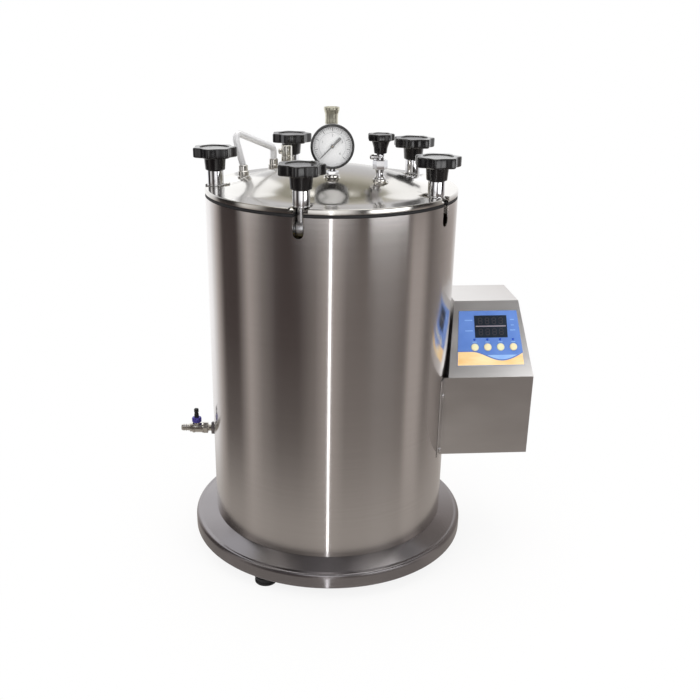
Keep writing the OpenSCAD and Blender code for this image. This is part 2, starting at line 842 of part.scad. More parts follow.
// Domed lid with open notches, saddle reliefs and welded bosses
module lid() {
    seat_w = washer_d + 2;
    color("gainsboro") difference() {
        union() {
            at_vessel() {
                rotate_extrude() lid_half();
                boss(0, -gauge_y, boss_d, gauge_boss_z);
                boss(0, safety_y, boss_d + 4, safety_boss_z);
                boss(release_x, release_y, boss_d - 2, release_boss_z);
                boss(vent_x, vent_y, boss_d - 2, vent_boss_z);
                for (i = [0, 1]) boss(handle_pads[i][0], handle_pads[i][1], handle_pad_d, pad_z(i));
            }
        }
        at_vessel() {
            for (p = [[0, -gauge_y], [0, safety_y], [release_x, release_y], [vent_x, vent_y]])
                translate([p[0], p[1], z_lid]) cylinder(d = port_d, h = 60);
        }
        at_clamps() {
            notch(shank_d + 2 * bolt_fit + 0.6, -shank_d / 2 - 1, z_lid - 1, lid_t + 2);
            difference() {
                translate([0, -seat_w / 2, z_lid]) cube([40, seat_w, lid_t + 1]);
                translate([0, 0, z_pivot]) rotate([90, 0, 0])
                    cylinder(r = seat_r - run_gap, h = seat_w + 2, center = true);
            }
        }
    }
}

// Bent bar handle on two welded pads
module lid_handle() {
    a = [handle_pads[0][0], handle_pads[0][1], pad_z(0)];
    b = [handle_pads[1][0], handle_pads[1][1], pad_z(1)];
    corner = [a[0] - 14, a[1], z_flange + handle_h];
    turn = [b[0], b[1], z_flange + handle_h * 0.56];
    color("whitesmoke") at_vessel() {
        for (p = [a, b]) translate(p) cylinder(d = 18, h = 14);
        bar(a + [0, 0, 14], corner, handle_d);
        bar(corner, turn, handle_d);
        bar(turn, b + [0, 0, 14], handle_d);
    }
}

// ---------------------------------------------------------------- gauge

stem_d = 13;
gauge_wall = 1.5;
dial_z = 5;
needle_z = 7.5;
spindle_d = 2;

// Distance of the case's middle in front of its stem
stem_back = 4;

// Origin at the gauge's centre, Z towards the operator, X to the right, Y up
module at_gauge() {
    at_vessel() translate([0, -gauge_y - stem_back, gauge_z]) rotate([90, 0, 0]) children();
}

// Cup-shaped case with its bezel ring
module gauge_case() {
    half = gauge_depth / 2;
    color("black") at_gauge() difference() {
        union() {
            translate([0, 0, -half]) cylinder(d = gauge_d - 2, h = gauge_depth - 1);
            translate([0, 0, half - 7]) cylinder(d = gauge_d, h = 7);
        }
        translate([0, 0, -half + gauge_wall]) cylinder(d = gauge_d - 2 - 2 * gauge_wall, h = gauge_depth);
        translate([0, 0, -stem_back]) rotate([90, 0, 0]) cylinder(d = stem_d + 0.4, h = gauge_d);
    }
}

// White dial plate with the hole for the spindle
module gauge_dial() {
    color("white") at_gauge() translate([0, 0, dial_z])
        ring(gauge_d - 2 - 2 * gauge_wall - 0.2, spindle_d + 1.5, 0.8);
}

// Flat glass held in the bezel
module gauge_glass() {
    color("lightcyan") at_gauge() translate([0, 0, gauge_depth / 2 - 3])
        cylinder(d = gauge_d - 2 - 2 * gauge_wall - 0.2, h = 2);
}

// Pointer with its counterweight, at zero
module gauge_needle() {
    color("black") at_gauge() rotate(225) difference() {
        union() {
            translate([0, 0, needle_z]) cylinder(d = 6, h = 1.6);
            translate([0, -0.6, needle_z]) cube([24, 1.2, 0.8]);
            translate([-11, -1.4, needle_z]) cube([11, 2.8, 0.8]);
        }
        translate([0, 0, needle_z - 1]) cylinder(d = spindle_d + 2 * pin_fit, h = 4);
    }
}

// Socket, Bourdon tube, movement plates and spindle
module gauge_movement() {
    tube_r = 21;
    color("goldenrod") {
        at_gauge() {
            translate([0, 0, -6]) rotate(-60) rotate_extrude(angle = 270) translate([tube_r, 0])
                square([4, 7], center = true);
            translate([-9, -tube_r - 3, -11]) cube([18, 12, 11]);
            translate([-4.5, 1.5 - gauge_d / 2, -stem_back - 4.5]) cube([9, gauge_d / 2 - tube_r, 9]);
            translate([-10, -14, -5]) cube([20, 25, 3]);
            translate([-10, -11, -5]) cube([5, 22, 8]);
            translate([0, 0, -5]) cylinder(d = spindle_d, h = needle_z + 5 + 1.2);
            translate([0, 0, -2]) cylinder(d = 9, h = 3);
        }
        at_vessel() translate([0, -gauge_y, 0]) {
            translate([0, 0, gauge_boss_z]) cylinder(d = stem_d, h = gauge_rise - gauge_d / 2 + 2.5);
            translate([0, 0, gauge_boss_z]) cylinder(d = 20, h = 6, $fn = 6);
            translate([0, 0, gauge_boss_z - spigot_len]) cylinder(d = spigot_d, h = spigot_len + 1);
        }
    }
}

// ---------------------------------------------------------------- valves on the lid

cap_h = 26;
valve_lift = 3;
safety_seat = 6;
safety_bore_d = 16;
safety_top = safety_h - cap_h - 1.5;
stem_rod_d = 5;

module at_safety() {
    at_vessel() translate([0, safety_y, safety_boss_z]) children();
}

// Safety valve: hexagon base and barrel with discharge holes
module safety_valve_body() {
    color("silver") at_safety() difference() {
        union() {
            translate([0, 0, -spigot_len]) cylinder(d = spigot_d, h = spigot_len + 1);
            cylinder(d = 27, h = 14, $fn = 6);
            cylinder(d = safety_d - 1, h = safety_top);
        }
        translate([0, 0, safety_seat]) cylinder(d = safety_bore_d, h = safety_top - safety_seat - 4);
        translate([0, 0, -spigot_len - 1]) cylinder(d = 6, h = 30);
        translate([0, 0, safety_top - 5]) cylinder(d = stem_rod_d + 2 * pin_fit, h = 10);
        for (i = [0:3]) rotate(45 + i * 90) translate([0, 0, 22]) rotate([0, 90, 0]) cylinder(d = 5, h = 20);
    }
}

// Poppet, collar, rod and lifting cap
module safety_valve_stem() {
    color("silver") at_safety() {
        translate([0, 0, safety_seat + run_gap]) cylinder(d = 12, h = 3);
        translate([0, 0, safety_seat + run_gap]) cylinder(d = stem_rod_d, h = safety_h - safety_seat - 4);
        translate([0, 0, safety_h - cap_h]) cylinder(d = safety_d, h = cap_h - 5);
        translate([0, 0, safety_h - 5]) cylinder(d = safety_d + 2.5, h = 5);
    }
}

// Coil spring as a plain sleeve between the collar and the barrel's top
module safety_valve_spring() {
    low = safety_seat + run_gap + 3 + 0.1;
    color("gray") at_safety() translate([0, 0, low]) ring(13, 8, safety_top - 4 - 0.1 - low);
}

hex_low = 14;
hex_top = 28;
neck_top = 37;

module at_release() {
    at_vessel() translate([release_x, release_y, release_boss_z]) children();
}

// Release valve: neck, hexagon body and side outlet
module release_valve_body() {
    color("silver") at_release() difference() {
        union() {
            translate([0, 0, -spigot_len]) cylinder(d = spigot_d, h = spigot_len + 1);
            cylinder(d = 17, h = 3);
            cylinder(d = 14, h = hex_low);
            translate([0, 0, hex_low]) cylinder(d = 22.5, h = hex_top - hex_low, $fn = 6);
            translate([0, 0, hex_top]) cylinder(d = 12, h = neck_top - hex_top);
            translate([0, 0, hex_top + 4]) rotate([0, -90, 0]) cylinder(d = 6, h = 12);
            translate([-12, 0, hex_top + 4]) sphere(d = 8);
        }
        translate([0, 0, -spigot_len - 1]) cylinder(d = 5, h = 40);
        translate([0, 0, 20]) cylinder(d = 7 + 2 * pin_fit, h = 30);
    }
}

// Release valve's knob on its stem
module release_valve_knob() {
    head_t = 10;
    color("black") at_release() {
        translate([0, 0, 21]) cylinder(d = 7, h = release_h - 21 - 2);
        translate([0, 0, neck_top + 0.6]) cylinder(d = 21, h = release_h - head_t - neck_top);
        translate([0, 0, release_h - head_t]) star(release_knob_d, head_t, knob_lobes);
    }
}

// Air vent fitting with a small side port
module vent_fitting() {
    color("silver") at_vessel() translate([vent_x, vent_y, vent_boss_z]) difference() {
        union() {
            translate([0, 0, -spigot_len]) cylinder(d = spigot_d, h = spigot_len + 1);
            cylinder(d = 21, h = 8, $fn = 6);
            translate([0, 0, 7]) cylinder(d = 19, h = 27);
            translate([0, 0, 24]) rotate([0, -90, 15]) cylinder(d = 9, h = 14);
        }
        translate([0, 0, -spigot_len - 1]) cylinder(d = 4, h = 30);
        translate([0, 0, 24]) rotate([0, -90, 15]) cylinder(d = 4, h = 16);
    }
}

// ---------------------------------------------------------------- clamps

// Swing bolt: flat eye on the clamp pin, with a round shank
module swing_bolt(k) {
    color("silver") at_clamp(k) difference() {
        union() {
            translate([0, 0, z_pivot]) rotate([90, 0, 0]) cylinder(d = eye_d, h = eye_t, center = true);
            translate([0, 0, z_pivot]) cylinder(d = shank_d, h = bolt_top - z_pivot);
        }
        translate([0, 0, z_pivot]) rotate([90, 0, 0])
            cylinder(d = pin_d + 2 * pin_fit, h = 20, center = true);
    }
}

bolt_bore_d = shank_d + 2 * bolt_fit;

// Washer and chromed sleeve below the knob
module clamp_sleeve(k) {
    color("silver") at_clamp(k) {
        translate([0, 0, z_washer]) ring(washer_d, bolt_bore_d, washer_t);
        translate([0, 0, z_washer + washer_t])
            ring(sleeve_d, bolt_bore_d, z_knob - run_gap - z_washer - washer_t);
    }
}

// Star knob with its skirt
module star_knob(k) {
    recess = 1.5;
    color("black") at_clamp(k) difference() {
        union() {
            translate([0, 0, z_knob]) cylinder(d = knob_skirt_d, h = knob_skirt_h + 1);
            translate([0, 0, z_knob_head]) star(knob_d, knob_head_t, knob_lobes);
        }
        translate([0, 0, z_knob - 1]) cylinder(d = bolt_bore_d, h = bolt_top - z_knob + 2);
        translate([0, 0, z_knob_top - recess]) cylinder(d = knob_d * 0.66, h = recess + 1);
    }
}

base_pan();
base_floor();
feet();
foot_bolts();
outer_jacket();
vessel();
insulation();
gasket();
clamp_lugs();
clamp_pins();
heater_element();
support_grid();
basket();
temperature_probe();
drain_pipe();
drain_valve_body();
drain_valve_handle();
box_shell();
box_floor_plate();
box_flange();
box_screws();
membrane_panel();
display_window();
indicator_leds();
button(1);  // button_1
button(2);  // button_2
button(3);  // button_3
button(4);  // button_4
controller_board();
transformer();
cable_gland();
box_conduit();
lid();
lid_handle();
gauge_case();
gauge_dial();
gauge_glass();
gauge_needle();
gauge_movement();
safety_valve_body();
safety_valve_stem();
safety_valve_spring();
release_valve_body();
release_valve_knob();
vent_fitting();
swing_bolt(1);  // swing_bolt_1
clamp_sleeve(1);  // clamp_sleeve_1
star_knob(1);  // star_knob_1
swing_bolt(2);  // swing_bolt_2
clamp_sleeve(2);  // clamp_sleeve_2
star_knob(2);  // star_knob_2
swing_bolt(3);  // swing_bolt_3
clamp_sleeve(3);  // clamp_sleeve_3
star_knob(3);  // star_knob_3
swing_bolt(4);  // swing_bolt_4
clamp_sleeve(4);  // clamp_sleeve_4
star_knob(4);  // star_knob_4
swing_bolt(5);  // swing_bolt_5
clamp_sleeve(5);  // clamp_sleeve_5
star_knob(5);  // star_knob_5
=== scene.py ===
"""Top-loading autoclave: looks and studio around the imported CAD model. Metres, +Z up, -Y towards the operator."""

import json
import math

import bmesh
import bpy
import numpy as np
from mathutils import Matrix, Vector


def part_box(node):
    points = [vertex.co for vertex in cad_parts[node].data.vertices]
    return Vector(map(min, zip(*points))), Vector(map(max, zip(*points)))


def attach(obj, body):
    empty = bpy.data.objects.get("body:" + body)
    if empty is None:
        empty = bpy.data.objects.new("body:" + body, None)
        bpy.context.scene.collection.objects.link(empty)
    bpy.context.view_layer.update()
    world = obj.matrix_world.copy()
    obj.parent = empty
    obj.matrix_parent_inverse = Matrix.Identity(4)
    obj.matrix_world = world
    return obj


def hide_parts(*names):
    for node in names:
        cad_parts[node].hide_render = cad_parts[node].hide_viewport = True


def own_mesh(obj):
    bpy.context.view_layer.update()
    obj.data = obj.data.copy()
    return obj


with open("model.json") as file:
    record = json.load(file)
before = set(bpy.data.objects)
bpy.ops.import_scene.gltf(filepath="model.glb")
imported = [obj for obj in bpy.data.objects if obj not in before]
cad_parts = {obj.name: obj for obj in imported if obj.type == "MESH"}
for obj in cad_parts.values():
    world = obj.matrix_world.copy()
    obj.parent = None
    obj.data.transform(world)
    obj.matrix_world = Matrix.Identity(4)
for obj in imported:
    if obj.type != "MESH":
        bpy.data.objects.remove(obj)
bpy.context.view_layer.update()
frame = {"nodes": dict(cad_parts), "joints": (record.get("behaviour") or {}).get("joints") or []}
mm = 0.001

# ---------------------------------------------------------------- outer jacket
# A rolled sheet of stainless steel, brushed round its circumference, so that every reflection is
# drawn out into upright streaks. Five round-bottomed slots in its top edge clear the swing bolts.

jacket_low, jacket_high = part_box("outer_jacket")
axis_x = (jacket_low.x + jacket_high.x) / 2
jacket_r = (jacket_high.x - jacket_low.x) / 2
jacket_wall = 1.2 * mm
slot_w = 16 * mm
eye_r = 11 * mm
joints = {j["name"]: j for j in frame["joints"]}
pivots = [Vector(joints[f"bolt_swing_{k}"]["pos_m"]) for k in range(1, 6)]
clamp_angles = np.array([math.atan2(p.y, p.x - axis_x) for p in pivots])
bolt_circle = math.hypot(pivots[0].x - axis_x, pivots[0].y)
pivot_z = pivots[0].z


def linear(code):
    """sRGB hex to linear light: c/12.92 up to 0.04045, and ((c+0.055)/1.055)^2.4 above it."""
    c = np.array([int(code[i:i + 2], 16) for i in (0, 2, 4)]) / 255
    return (*np.where(c <= 0.04045, c / 12.92, ((c + 0.055) / 1.055) ** 2.4), 1.0)


def node(tree, kind, inputs=None, stops=None, **settings):
    """Adds a shader node, sets its properties and colour stops, and gives each input a value or a link."""
    made = tree.nodes.new("ShaderNode" + kind)
    for key, value in settings.items():
        setattr(made, key, value)
    for i, (place, code) in enumerate(stops or []):
        stop = made.color_ramp.elements[i] if i < 2 else made.color_ramp.elements.new(place)
        stop.position, stop.color = place, linear(code)
    for key, value in (inputs or {}).items():
        if isinstance(value, bpy.types.NodeSocket):
            tree.links.new(value, made.inputs[key])
        else:
            made.inputs[key].default_value = value
    return made.outputs


def finish(name, colour, roughness, metallic=0.0, **sockets):
    """A principled material in one colour, as the start of a finish. Returns it, its tree and its shader's inputs."""
    made = bpy.data.materials.new(name)
    made.use_nodes = True
    made.diffuse_color = linear(colour)
    shader = made.node_tree.nodes["Principled BSDF"].inputs
    values = {"Base Color": linear(colour), "Roughness": roughness, "Metallic": metallic}
    values.update({key.replace("_", " "): value for key, value in sockets.items()})
    for key, value in values.items():
        shader[key].default_value = value
    return made, made.node_tree, shader


def mottle(start, scale, colours, rough, bump=0.0, stretch=(1, 1, 1), detail=4.0):
    """Noise on Object coordinates, stretched along each axis, sets colour, roughness and a bump in metres
    on what finish returned. Returns the material."""
    made, tree, shader = start
    place = node(tree, "TexCoord")["Object"]
    drawn = node(tree, "Mapping", {"Vector": place, "Scale": stretch})["Vector"]
    field = node(tree, "TexNoise", {"Vector": drawn, "Scale": scale, "Detail": detail})["Fac"]
    ends = [(0.3, colours[0]), (0.7, colours[1])]
    tree.links.new(node(tree, "ValToRGB", {"Fac": field}, stops=ends)["Color"], shader["Base Color"])
    spread = {"Value": field, 1: 0.3, 2: 0.7, 3: rough[0], 4: rough[1]}
    tree.links.new(node(tree, "MapRange", spread)["Result"], shader["Roughness"])
    if bump:
        raised = node(tree, "Bump", {"Height": field, "Distance": bump, "Strength": 1.0})["Normal"]
        tree.links.new(raised, shader["Normal"])
    return made


def grid(points, wrap_rows=False, wrap_columns=True):
    """Corner points of a surface, rows by columns by 3, and its quads. A wrap joins the last row or
    column to the first."""
    rows, columns = points.shape[:2]
    i, j = np.meshgrid(np.arange(rows - (not wrap_rows)), np.arange(columns - (not wrap_columns)), indexing="ij")
    down, right = (i + 1) % rows, (j + 1) % columns
    quads = np.stack([i * columns + j, i * columns + right, down * columns + right, down * columns + j], -1)
    return points.reshape(-1, 3), quads.reshape(-1, 4)


def piece(name, surfaces, material, sharp=35.0, weld=1e-6):
    """One mesh from several surfaces. Doubles are merged, which closes the poles, and each closed shell's faces
    are turned outwards; edges sharper than the given angle in degrees stay crisp."""
    points, quads, base = [], [], 0
    for surface_points, surface_quads in surfaces:
        points.append(surface_points)
        quads.append(surface_quads + base)
        base += len(surface_points)
    mesh = bpy.data.meshes.new(name)
    mesh.from_pydata(np.vstack(points).tolist(), [], [q for block in quads for q in block.tolist()])
    work = bmesh.new()
    work.from_mesh(mesh)
    bmesh.ops.remove_doubles(work, verts=work.verts, dist=weld)
    bmesh.ops.dissolve_degenerate(work, edges=work.edges, dist=weld)
    bmesh.ops.recalc_face_normals(work, faces=work.faces)
    work.to_mesh(mesh)
    work.free()
    mesh.shade_smooth()
    mesh.set_sharp_from_angle(angle=math.radians(sharp))
    mesh.materials.append(material)
    made = bpy.data.objects.new(name, mesh)
    bpy.context.scene.collection.objects.link(made)
    return made


def fit(made, body, slot, *nodes):
    """The piece rides on its body and stands for the CAD nodes named, which are hidden. The slot is not used."""
    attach(made, body)
    if nodes:
        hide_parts(*nodes)
    return made


def around_clamps(inner, outer, width, spread=720):
    """Angles round the axis, closer together at the clamps, and the radius out to which a notched disc reaches:
    the near side of each notch's round end, then its straight flank at half the width over the sine, then the rim."""
    edge = math.asin(width / 2 / outer)
    flank = math.asin(width / 2 / inner)
    local = np.concatenate([np.linspace(0, flank, 14), np.linspace(flank, edge, 8)[1:], [edge + 1e-5]])
    local = np.concatenate([local, edge + np.geomspace(0.003, 0.12, 8)])
    near = (clamp_angles[:, None] + np.concatenate([-local, local])).ravel() % (2 * np.pi)
    even = np.linspace(0, 2 * np.pi, spread, endpoint=False)
    gap = np.abs((even[:, None] - clamp_angles[None] + np.pi) % (2 * np.pi) - np.pi).min(1)
    angles = np.unique(np.round(np.concatenate([near, even[gap > edge + 0.02]]), 6))
    off = np.abs((angles[:, None] - clamp_angles[None] + np.pi) % (2 * np.pi) - np.pi).min(1)
    end = inner * np.cos(off) - np.sqrt(np.maximum((width / 2) ** 2 - (inner * np.sin(off)) ** 2, 0))
    side = width / 2 / np.maximum(np.sin(off), 1e-6)
    reach = np.where(off < flank, end, np.where(off <= edge, np.minimum(side, outer), outer))
    return angles, reach, off


def jacket_surface(radius, rows=26):
    """x = r cos a, y = r sin a, z from the deck up to the rim, or down to the slot's floor, which is its centre
    less the root of w^2/4 - (r sin d)^2 at angle d from the clamp. Rows crowd towards the top."""
    angles, _, off = around_clamps(radius, radius + 1 * mm, slot_w)
    across = radius * np.sin(off)
    floor = pivot_z - eye_r - 0.4 * mm + slot_w / 2
    depth = np.sqrt(np.maximum((slot_w / 2) ** 2 - across ** 2, 0))
    top = np.where(across < slot_w / 2, floor - depth, jacket_high.z)
    share = np.linspace(0, 1, rows)[:, None] ** 0.6
    z = jacket_low.z + share * (top - jacket_low.z)
    ring = [axis_x + radius * np.cos(angles) + 0 * z, radius * np.sin(angles) + 0 * z, z]
    return np.stack(ring, -1)


jacket_out, jacket_in = jacket_surface(jacket_r), jacket_surface(jacket_r - jacket_wall)
jacket_sheet = np.concatenate([jacket_out, jacket_in[::-1]])

# Stainless 304, linished with a belt of about 240 grit. The grain is 0.1 mm wide on the real sheet and
# is drawn at 1.5 mm, very faint; it spreads highlights upright and keeps them narrow sideways. Rolling
# leaves upright ripples about 3 mm apart and 0.014 mm deep, which break up the reflections slightly.
brushed_start = finish("stainless_304_linished", "d3d0cf", 0.15, 1.0, Anisotropic=1.0)
brushed = mottle(brushed_start, 26.0, ("d1cecd", "d5d2d1"), (0.145, 0.155), 0.0, (0.12, 0.12, 26))
brushed_tree, brushed_in = brushed_start[1:]
upright = node(brushed_tree, "Tangent", direction_type="UV_MAP", uv_map="grain")["Tangent"]
brushed_tree.links.new(upright, brushed_in["Tangent"])
ripple_depth = 0.014 * mm
sheet_place = node(brushed_tree, "TexCoord")["Object"]
rolled = node(brushed_tree, "Mapping", {"Vector": sheet_place, "Scale": (1, 1, 0.004)})["Vector"]
ripple = node(brushed_tree, "TexNoise", {"Vector": rolled, "Scale": 300.0, "Detail": 2.0})["Fac"]
streaks = node(brushed_tree, "Bump", {"Height": ripple, "Distance": ripple_depth, "Strength": 1.0})["Normal"]
brushed_tree.links.new(streaks, brushed_in["Normal"])


def upright_grain(made):
    """A UV map whose U runs up the sheet, at one unit a metre, so that the tangent is upright everywhere."""
    mesh = made.data
    uv = mesh.uv_layers.new(name="grain")
    points = np.zeros(len(mesh.vertices) * 3)
    mesh.vertices.foreach_get("co", points)
    corner = np.zeros(len(mesh.loops), np.int32)
    mesh.loops.foreach_get("vertex_index", corner)
    x, y, z = points.reshape(-1, 3)[corner].T
    face = np.repeat(np.arange(len(mesh.polygons)), [p.loop_total for p in mesh.polygons])
    turn = np.arctan2(y, x - axis_x)
    first = np.zeros(len(mesh.polygons))
    first[face[::-1]] = turn[::-1]
    turn = first[face] + (turn - first[face] + np.pi) % (2 * np.pi) - np.pi
    uv.data.foreach_set("uv", np.stack([z, turn * jacket_r], -1).ravel())


jacket = piece("outer_jacket_sheet", [grid(jacket_sheet, wrap_rows=True)], brushed)
upright_grain(jacket)
fit(jacket, "root", "brushed_jacket", "outer_jacket")

# ---------------------------------------------------------------- base pan and floor plate
# Spun stainless pan with a shallow conical deck and a rolled shoulder, satin finished and duller than
# the jacket. A flat plate closes it from below.

pan_low, pan_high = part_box("base_pan")
pan_r = (pan_high.x - pan_low.x) / 2
pan_round = 9 * mm
deck_drop = 11 * mm


def rounded(corners, radii, steps=8):
    """A line through the corners, each turned with its own radius: the arc touches both legs at
    r / tan(half the angle between them) from the corner, and is stepped evenly in angle."""
    corners = np.asarray(corners, float)
    line = [corners[0]]
    for before, at, after, r in zip(corners[:-2], corners[1:-1], corners[2:], radii):
        a, b = (before - at) / np.linalg.norm(before - at), (after - at) / np.linalg.norm(after - at)
        half = math.acos(np.clip(a @ b, -1, 1)) / 2
        if r <= 0 or half > 1.56:
            line.append(at)
            continue
        centre = at + (a + b) / np.linalg.norm(a + b) * r / math.sin(half)
        start, stop = at + a * r / math.tan(half) - centre, at + b * r / math.tan(half) - centre
        turn = math.acos(np.clip(start @ stop / r / r, -1, 1))
        t = np.linspace(0, 1, steps + 1)[:, None]
        line.extend(centre + (start * np.sin((1 - t) * turn) + stop * np.sin(t * turn)) / math.sin(turn))
    line.append(corners[-1])
    return np.array(line)


def lathe(profile, at=(0, 0, 0), axis=(0, 0, 1), columns=96, closed=False):
    """Turns a profile of (radius, height) about an axis through a point: p = at + r cos t u + r sin t v + h axis."""
    axis = Vector(axis).normalized()
    u = axis.orthogonal().normalized() if abs(axis.z) < 0.99 else Vector((1, 0, 0))
    v = axis.cross(u)
    t = np.linspace(0, 2 * np.pi, columns, endpoint=False)
    r, h = np.asarray(profile, float).T
    ring = np.cos(t)[:, None] * np.array(u) + np.sin(t)[:, None] * np.array(v)
    points = np.array(at) + r[:, None, None] * ring[None] + h[:, None, None] * np.array(axis)
    return grid(points, wrap_rows=closed)


pan_wall = 2 * mm
pan_edge = pan_high.z - deck_drop
pan_line = rounded(
    [(jacket_r - 4 * mm, pan_high.z - 0.2 * mm), (jacket_r - 1 * mm, pan_high.z), (pan_r - pan_round, pan_edge),
     (pan_r, pan_edge), (pan_r, pan_low.z), (pan_r - pan_wall, pan_low.z), (pan_r - pan_wall, pan_edge - pan_wall),
     (jacket_r - 4 * mm, pan_high.z - pan_wall)],
    [2 * mm, 6 * mm, pan_round * 0.8, 0.9 * mm, 0.9 * mm, 4 * mm], 12)
satin_dark = mottle(finish("stainless_spun_satin", "9c9a9d", 0.22, 1.0),
                    9.0, ("908d90", "9b989a"), (0.2, 0.26), 0.0, (1, 1, 1))
pan = piece("base_pan_spun", [lathe(pan_line, (axis_x, 0, 0), columns=256, closed=True)], satin_dark)
fit(pan, "root", "base_steel", "base_pan")


def dress(material, *nodes):
    """Gives CAD nodes whose shape is already right a finish of their own."""
    for name in nodes:
        frame["nodes"][name].data.materials.clear()
        frame["nodes"][name].data.materials.append(material)


dress(satin_dark, "base_floor")

# ---------------------------------------------------------------- feet
# Three moulded rubber feet with two grooves, each on a bolt through the floor plate.

foot_circle = 212 * mm
foot_r, groove_r = 18, 16.5
foot_line = rounded(
    [(9, 10), (9, 0), (foot_r, 0), (foot_r, 4), (groove_r, 4.4), (groove_r, 7.6), (foot_r, 8), (foot_r, 12),
     (groove_r, 12.4), (groove_r, 15.6), (foot_r, 16), (foot_r, 20), (4.2, 20), (4.2, 10)],
    [1, 1] + [0.5] * 8 + [1, 0, 0], 4) * mm
foot_places = [(axis_x + foot_circle * math.cos(a), foot_circle * math.sin(a), 0) for a in np.radians([-119, 1, 121])]
# Moulded black rubber: matt, with a faint grey bloom
rubber = mottle(finish("rubber_moulded", "0c0c0e", 0.62), 260.0, ("101012", "1f1f22"), (0.5, 0.75), 0.00008)
feet = piece("feet_moulded", [lathe(foot_line, at, columns=64, closed=True) for at in foot_places], rubber)
fit(feet, "root", "rubber", "feet")

# ---------------------------------------------------------------- gasket
# A flat ring of black silicone rubber between the vessel's flange and the lid, notched at the bolts.
# Its outer edge bulges slightly where the lid squeezes it.

gasket_low, gasket_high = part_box("gasket")
gasket_notch = 13 * mm
notch_centre = bolt_circle - 5.5 * mm - 1 * mm + gasket_notch / 2


def notched_ring(profile, inner_r, outer_r, width, centre):
    """A flat ring whose section is a closed profile of (share across, height): r = inner + share (reach - inner),
    where reach is the notched outline's radius at that angle."""
    angles, reach, _ = around_clamps(centre, outer_r, width)
    share, z = np.asarray(profile, float).T
    r = inner_r + share[:, None] * (reach - inner_r)[None]
    points = [axis_x + r * np.cos(angles), r * np.sin(angles), z[:, None] + 0 * r]
    return grid(np.stack(points, -1), wrap_rows=True)


gasket_t = gasket_high.z - gasket_low.z
bulge = [(0, 0), (0.985, 0), (0.996, 0.12), (1, 0.35), (1, 0.65), (0.996, 0.88), (0.985, 1), (0, 1)]
gasket_line = [(s, gasket_low.z + h * gasket_t) for s, h in bulge]
ring = notched_ring(gasket_line, 154 * mm, jacket_r - 0.5 * mm, gasket_notch, notch_centre)
fit(piece("gasket_ring", [ring], rubber), "root", "rubber", "gasket")

# ---------------------------------------------------------------- lid
# A spun stainless dome on a flat flange, polished to a mirror, with five open notches for the bolts,
# a shallow seat round each, and welded bosses that carry the fittings.

lid_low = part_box("lid")[0]
lid_t = 8 * mm
flange_z = lid_low.z + lid_t
dome_r, dome_h, dome_wall = 156 * mm, 31 * mm, 3 * mm
sphere_r = (dome_r ** 2 + dome_h ** 2) / (2 * dome_h)
sphere_z = flange_z + dome_h - sphere_r
lid_notch = 12.6 * mm
lid_notch_centre = bolt_circle - 5.5 * mm - 1 * mm + lid_notch / 2
seat_half = 14 * mm
seat_r = flange_z - pivot_z - 0.3 * mm


def dome_height(r):
    """Height of the dome's outside at a distance from the axis: the sphere's z + root(R^2 - r^2)."""
    return sphere_z + np.sqrt(sphere_r ** 2 - np.minimum(r, dome_r + 20 * mm) ** 2)


def lid_top(r):
    """The dome and the flange joined by a smooth maximum, m + root((a-b)^2 + k^2)/2, which is the rolled fillet."""
    dome = dome_height(r)
    fillet = 5.2 * mm * np.exp(-((r - dome_r) / (24 * mm)) ** 2)
    return (dome + flange_z) / 2 + np.sqrt((dome - flange_z) ** 2 + fillet ** 2) / 2


angles, reach, off = around_clamps(lid_notch_centre, jacket_r, lid_notch, 900)
edge_round = 1.6 * mm
s = np.concatenate([np.linspace(0, 0.7, 24), np.linspace(0.7, 0.86, 26)[1:], np.linspace(0.86, 1, 22)[1:]])
r_top = s[:, None] * (reach - edge_round)[None]
z_top = lid_top(r_top)
arc = np.linspace(0, np.pi / 2, 5)[1:, None]
r_edge = reach - edge_round + edge_round * np.sin(arc)
z_edge = flange_z - edge_round + edge_round * np.cos(arc) + 0 * reach
r_under = np.concatenate([reach[None] + 0 * arc[:1], (reach[None] - 0.8 * mm), 148 * mm + 0 * reach[None]])
z_under = np.array([lid_low.z + 0.8 * mm, lid_low.z, lid_low.z])[:, None] + 0 * reach
r_in = np.linspace(146 * mm, 0, 10)[:, None] + 0 * reach
z_in = sphere_z + np.sqrt((sphere_r - dome_wall) ** 2 - r_in ** 2)
r_lid = np.concatenate([r_top, r_edge, r_under, r_in])
z_lid = np.concatenate([z_top, z_edge, z_under, z_in])
along, across = r_lid * np.cos(off) - bolt_circle, np.abs(r_lid * np.sin(off))
saddle = pivot_z + np.sqrt(np.maximum(seat_r ** 2 - along ** 2, 0))
seated = (across < seat_half) & (along > -22 * mm) & (z_lid > lid_low.z + 1 * mm)
z_lid = np.where(seated, np.minimum(z_lid, saddle), z_lid)
lid_points = np.stack([axis_x + r_lid * np.cos(angles), r_lid * np.sin(angles), z_lid], -1)

# Polished stainless: a mirror with a faint warm cast and the slow waves that spinning leaves
mirror = mottle(finish("stainless_mirror_polished", "d6d3cf", 0.14, 1.0),
                7.0, ("d1cec9", "dad8d4"), (0.12, 0.17), 0.0004, (1, 1, 1), 2.0)
boss_places = {"gauge": (0, -72, 24), "safety": (0, 60, 28), "release": (72, -69, 22), "vent": (-75, 115, 22),
               "handle_front": (-143, 46, 20), "handle_back": (-97, 110, 20)}


def boss(x, y, d):
    """A welded boss: a short round pillar with a bead of weld whose foot follows the dome."""
    r = math.hypot(x, y) * mm
    foot = float(dome_height(r))
    top = foot + 3 * mm
    side = d / 2 * mm
    line = rounded([(0, top), (side, top), (side, foot), (side + 3 * mm, foot - 2.5 * mm), (0, foot - 6 * mm)],
                   [0.6 * mm, 2 * mm, 0.4 * mm], 6)
    return lathe(line, (axis_x + x * mm, y * mm, 0), columns=64)


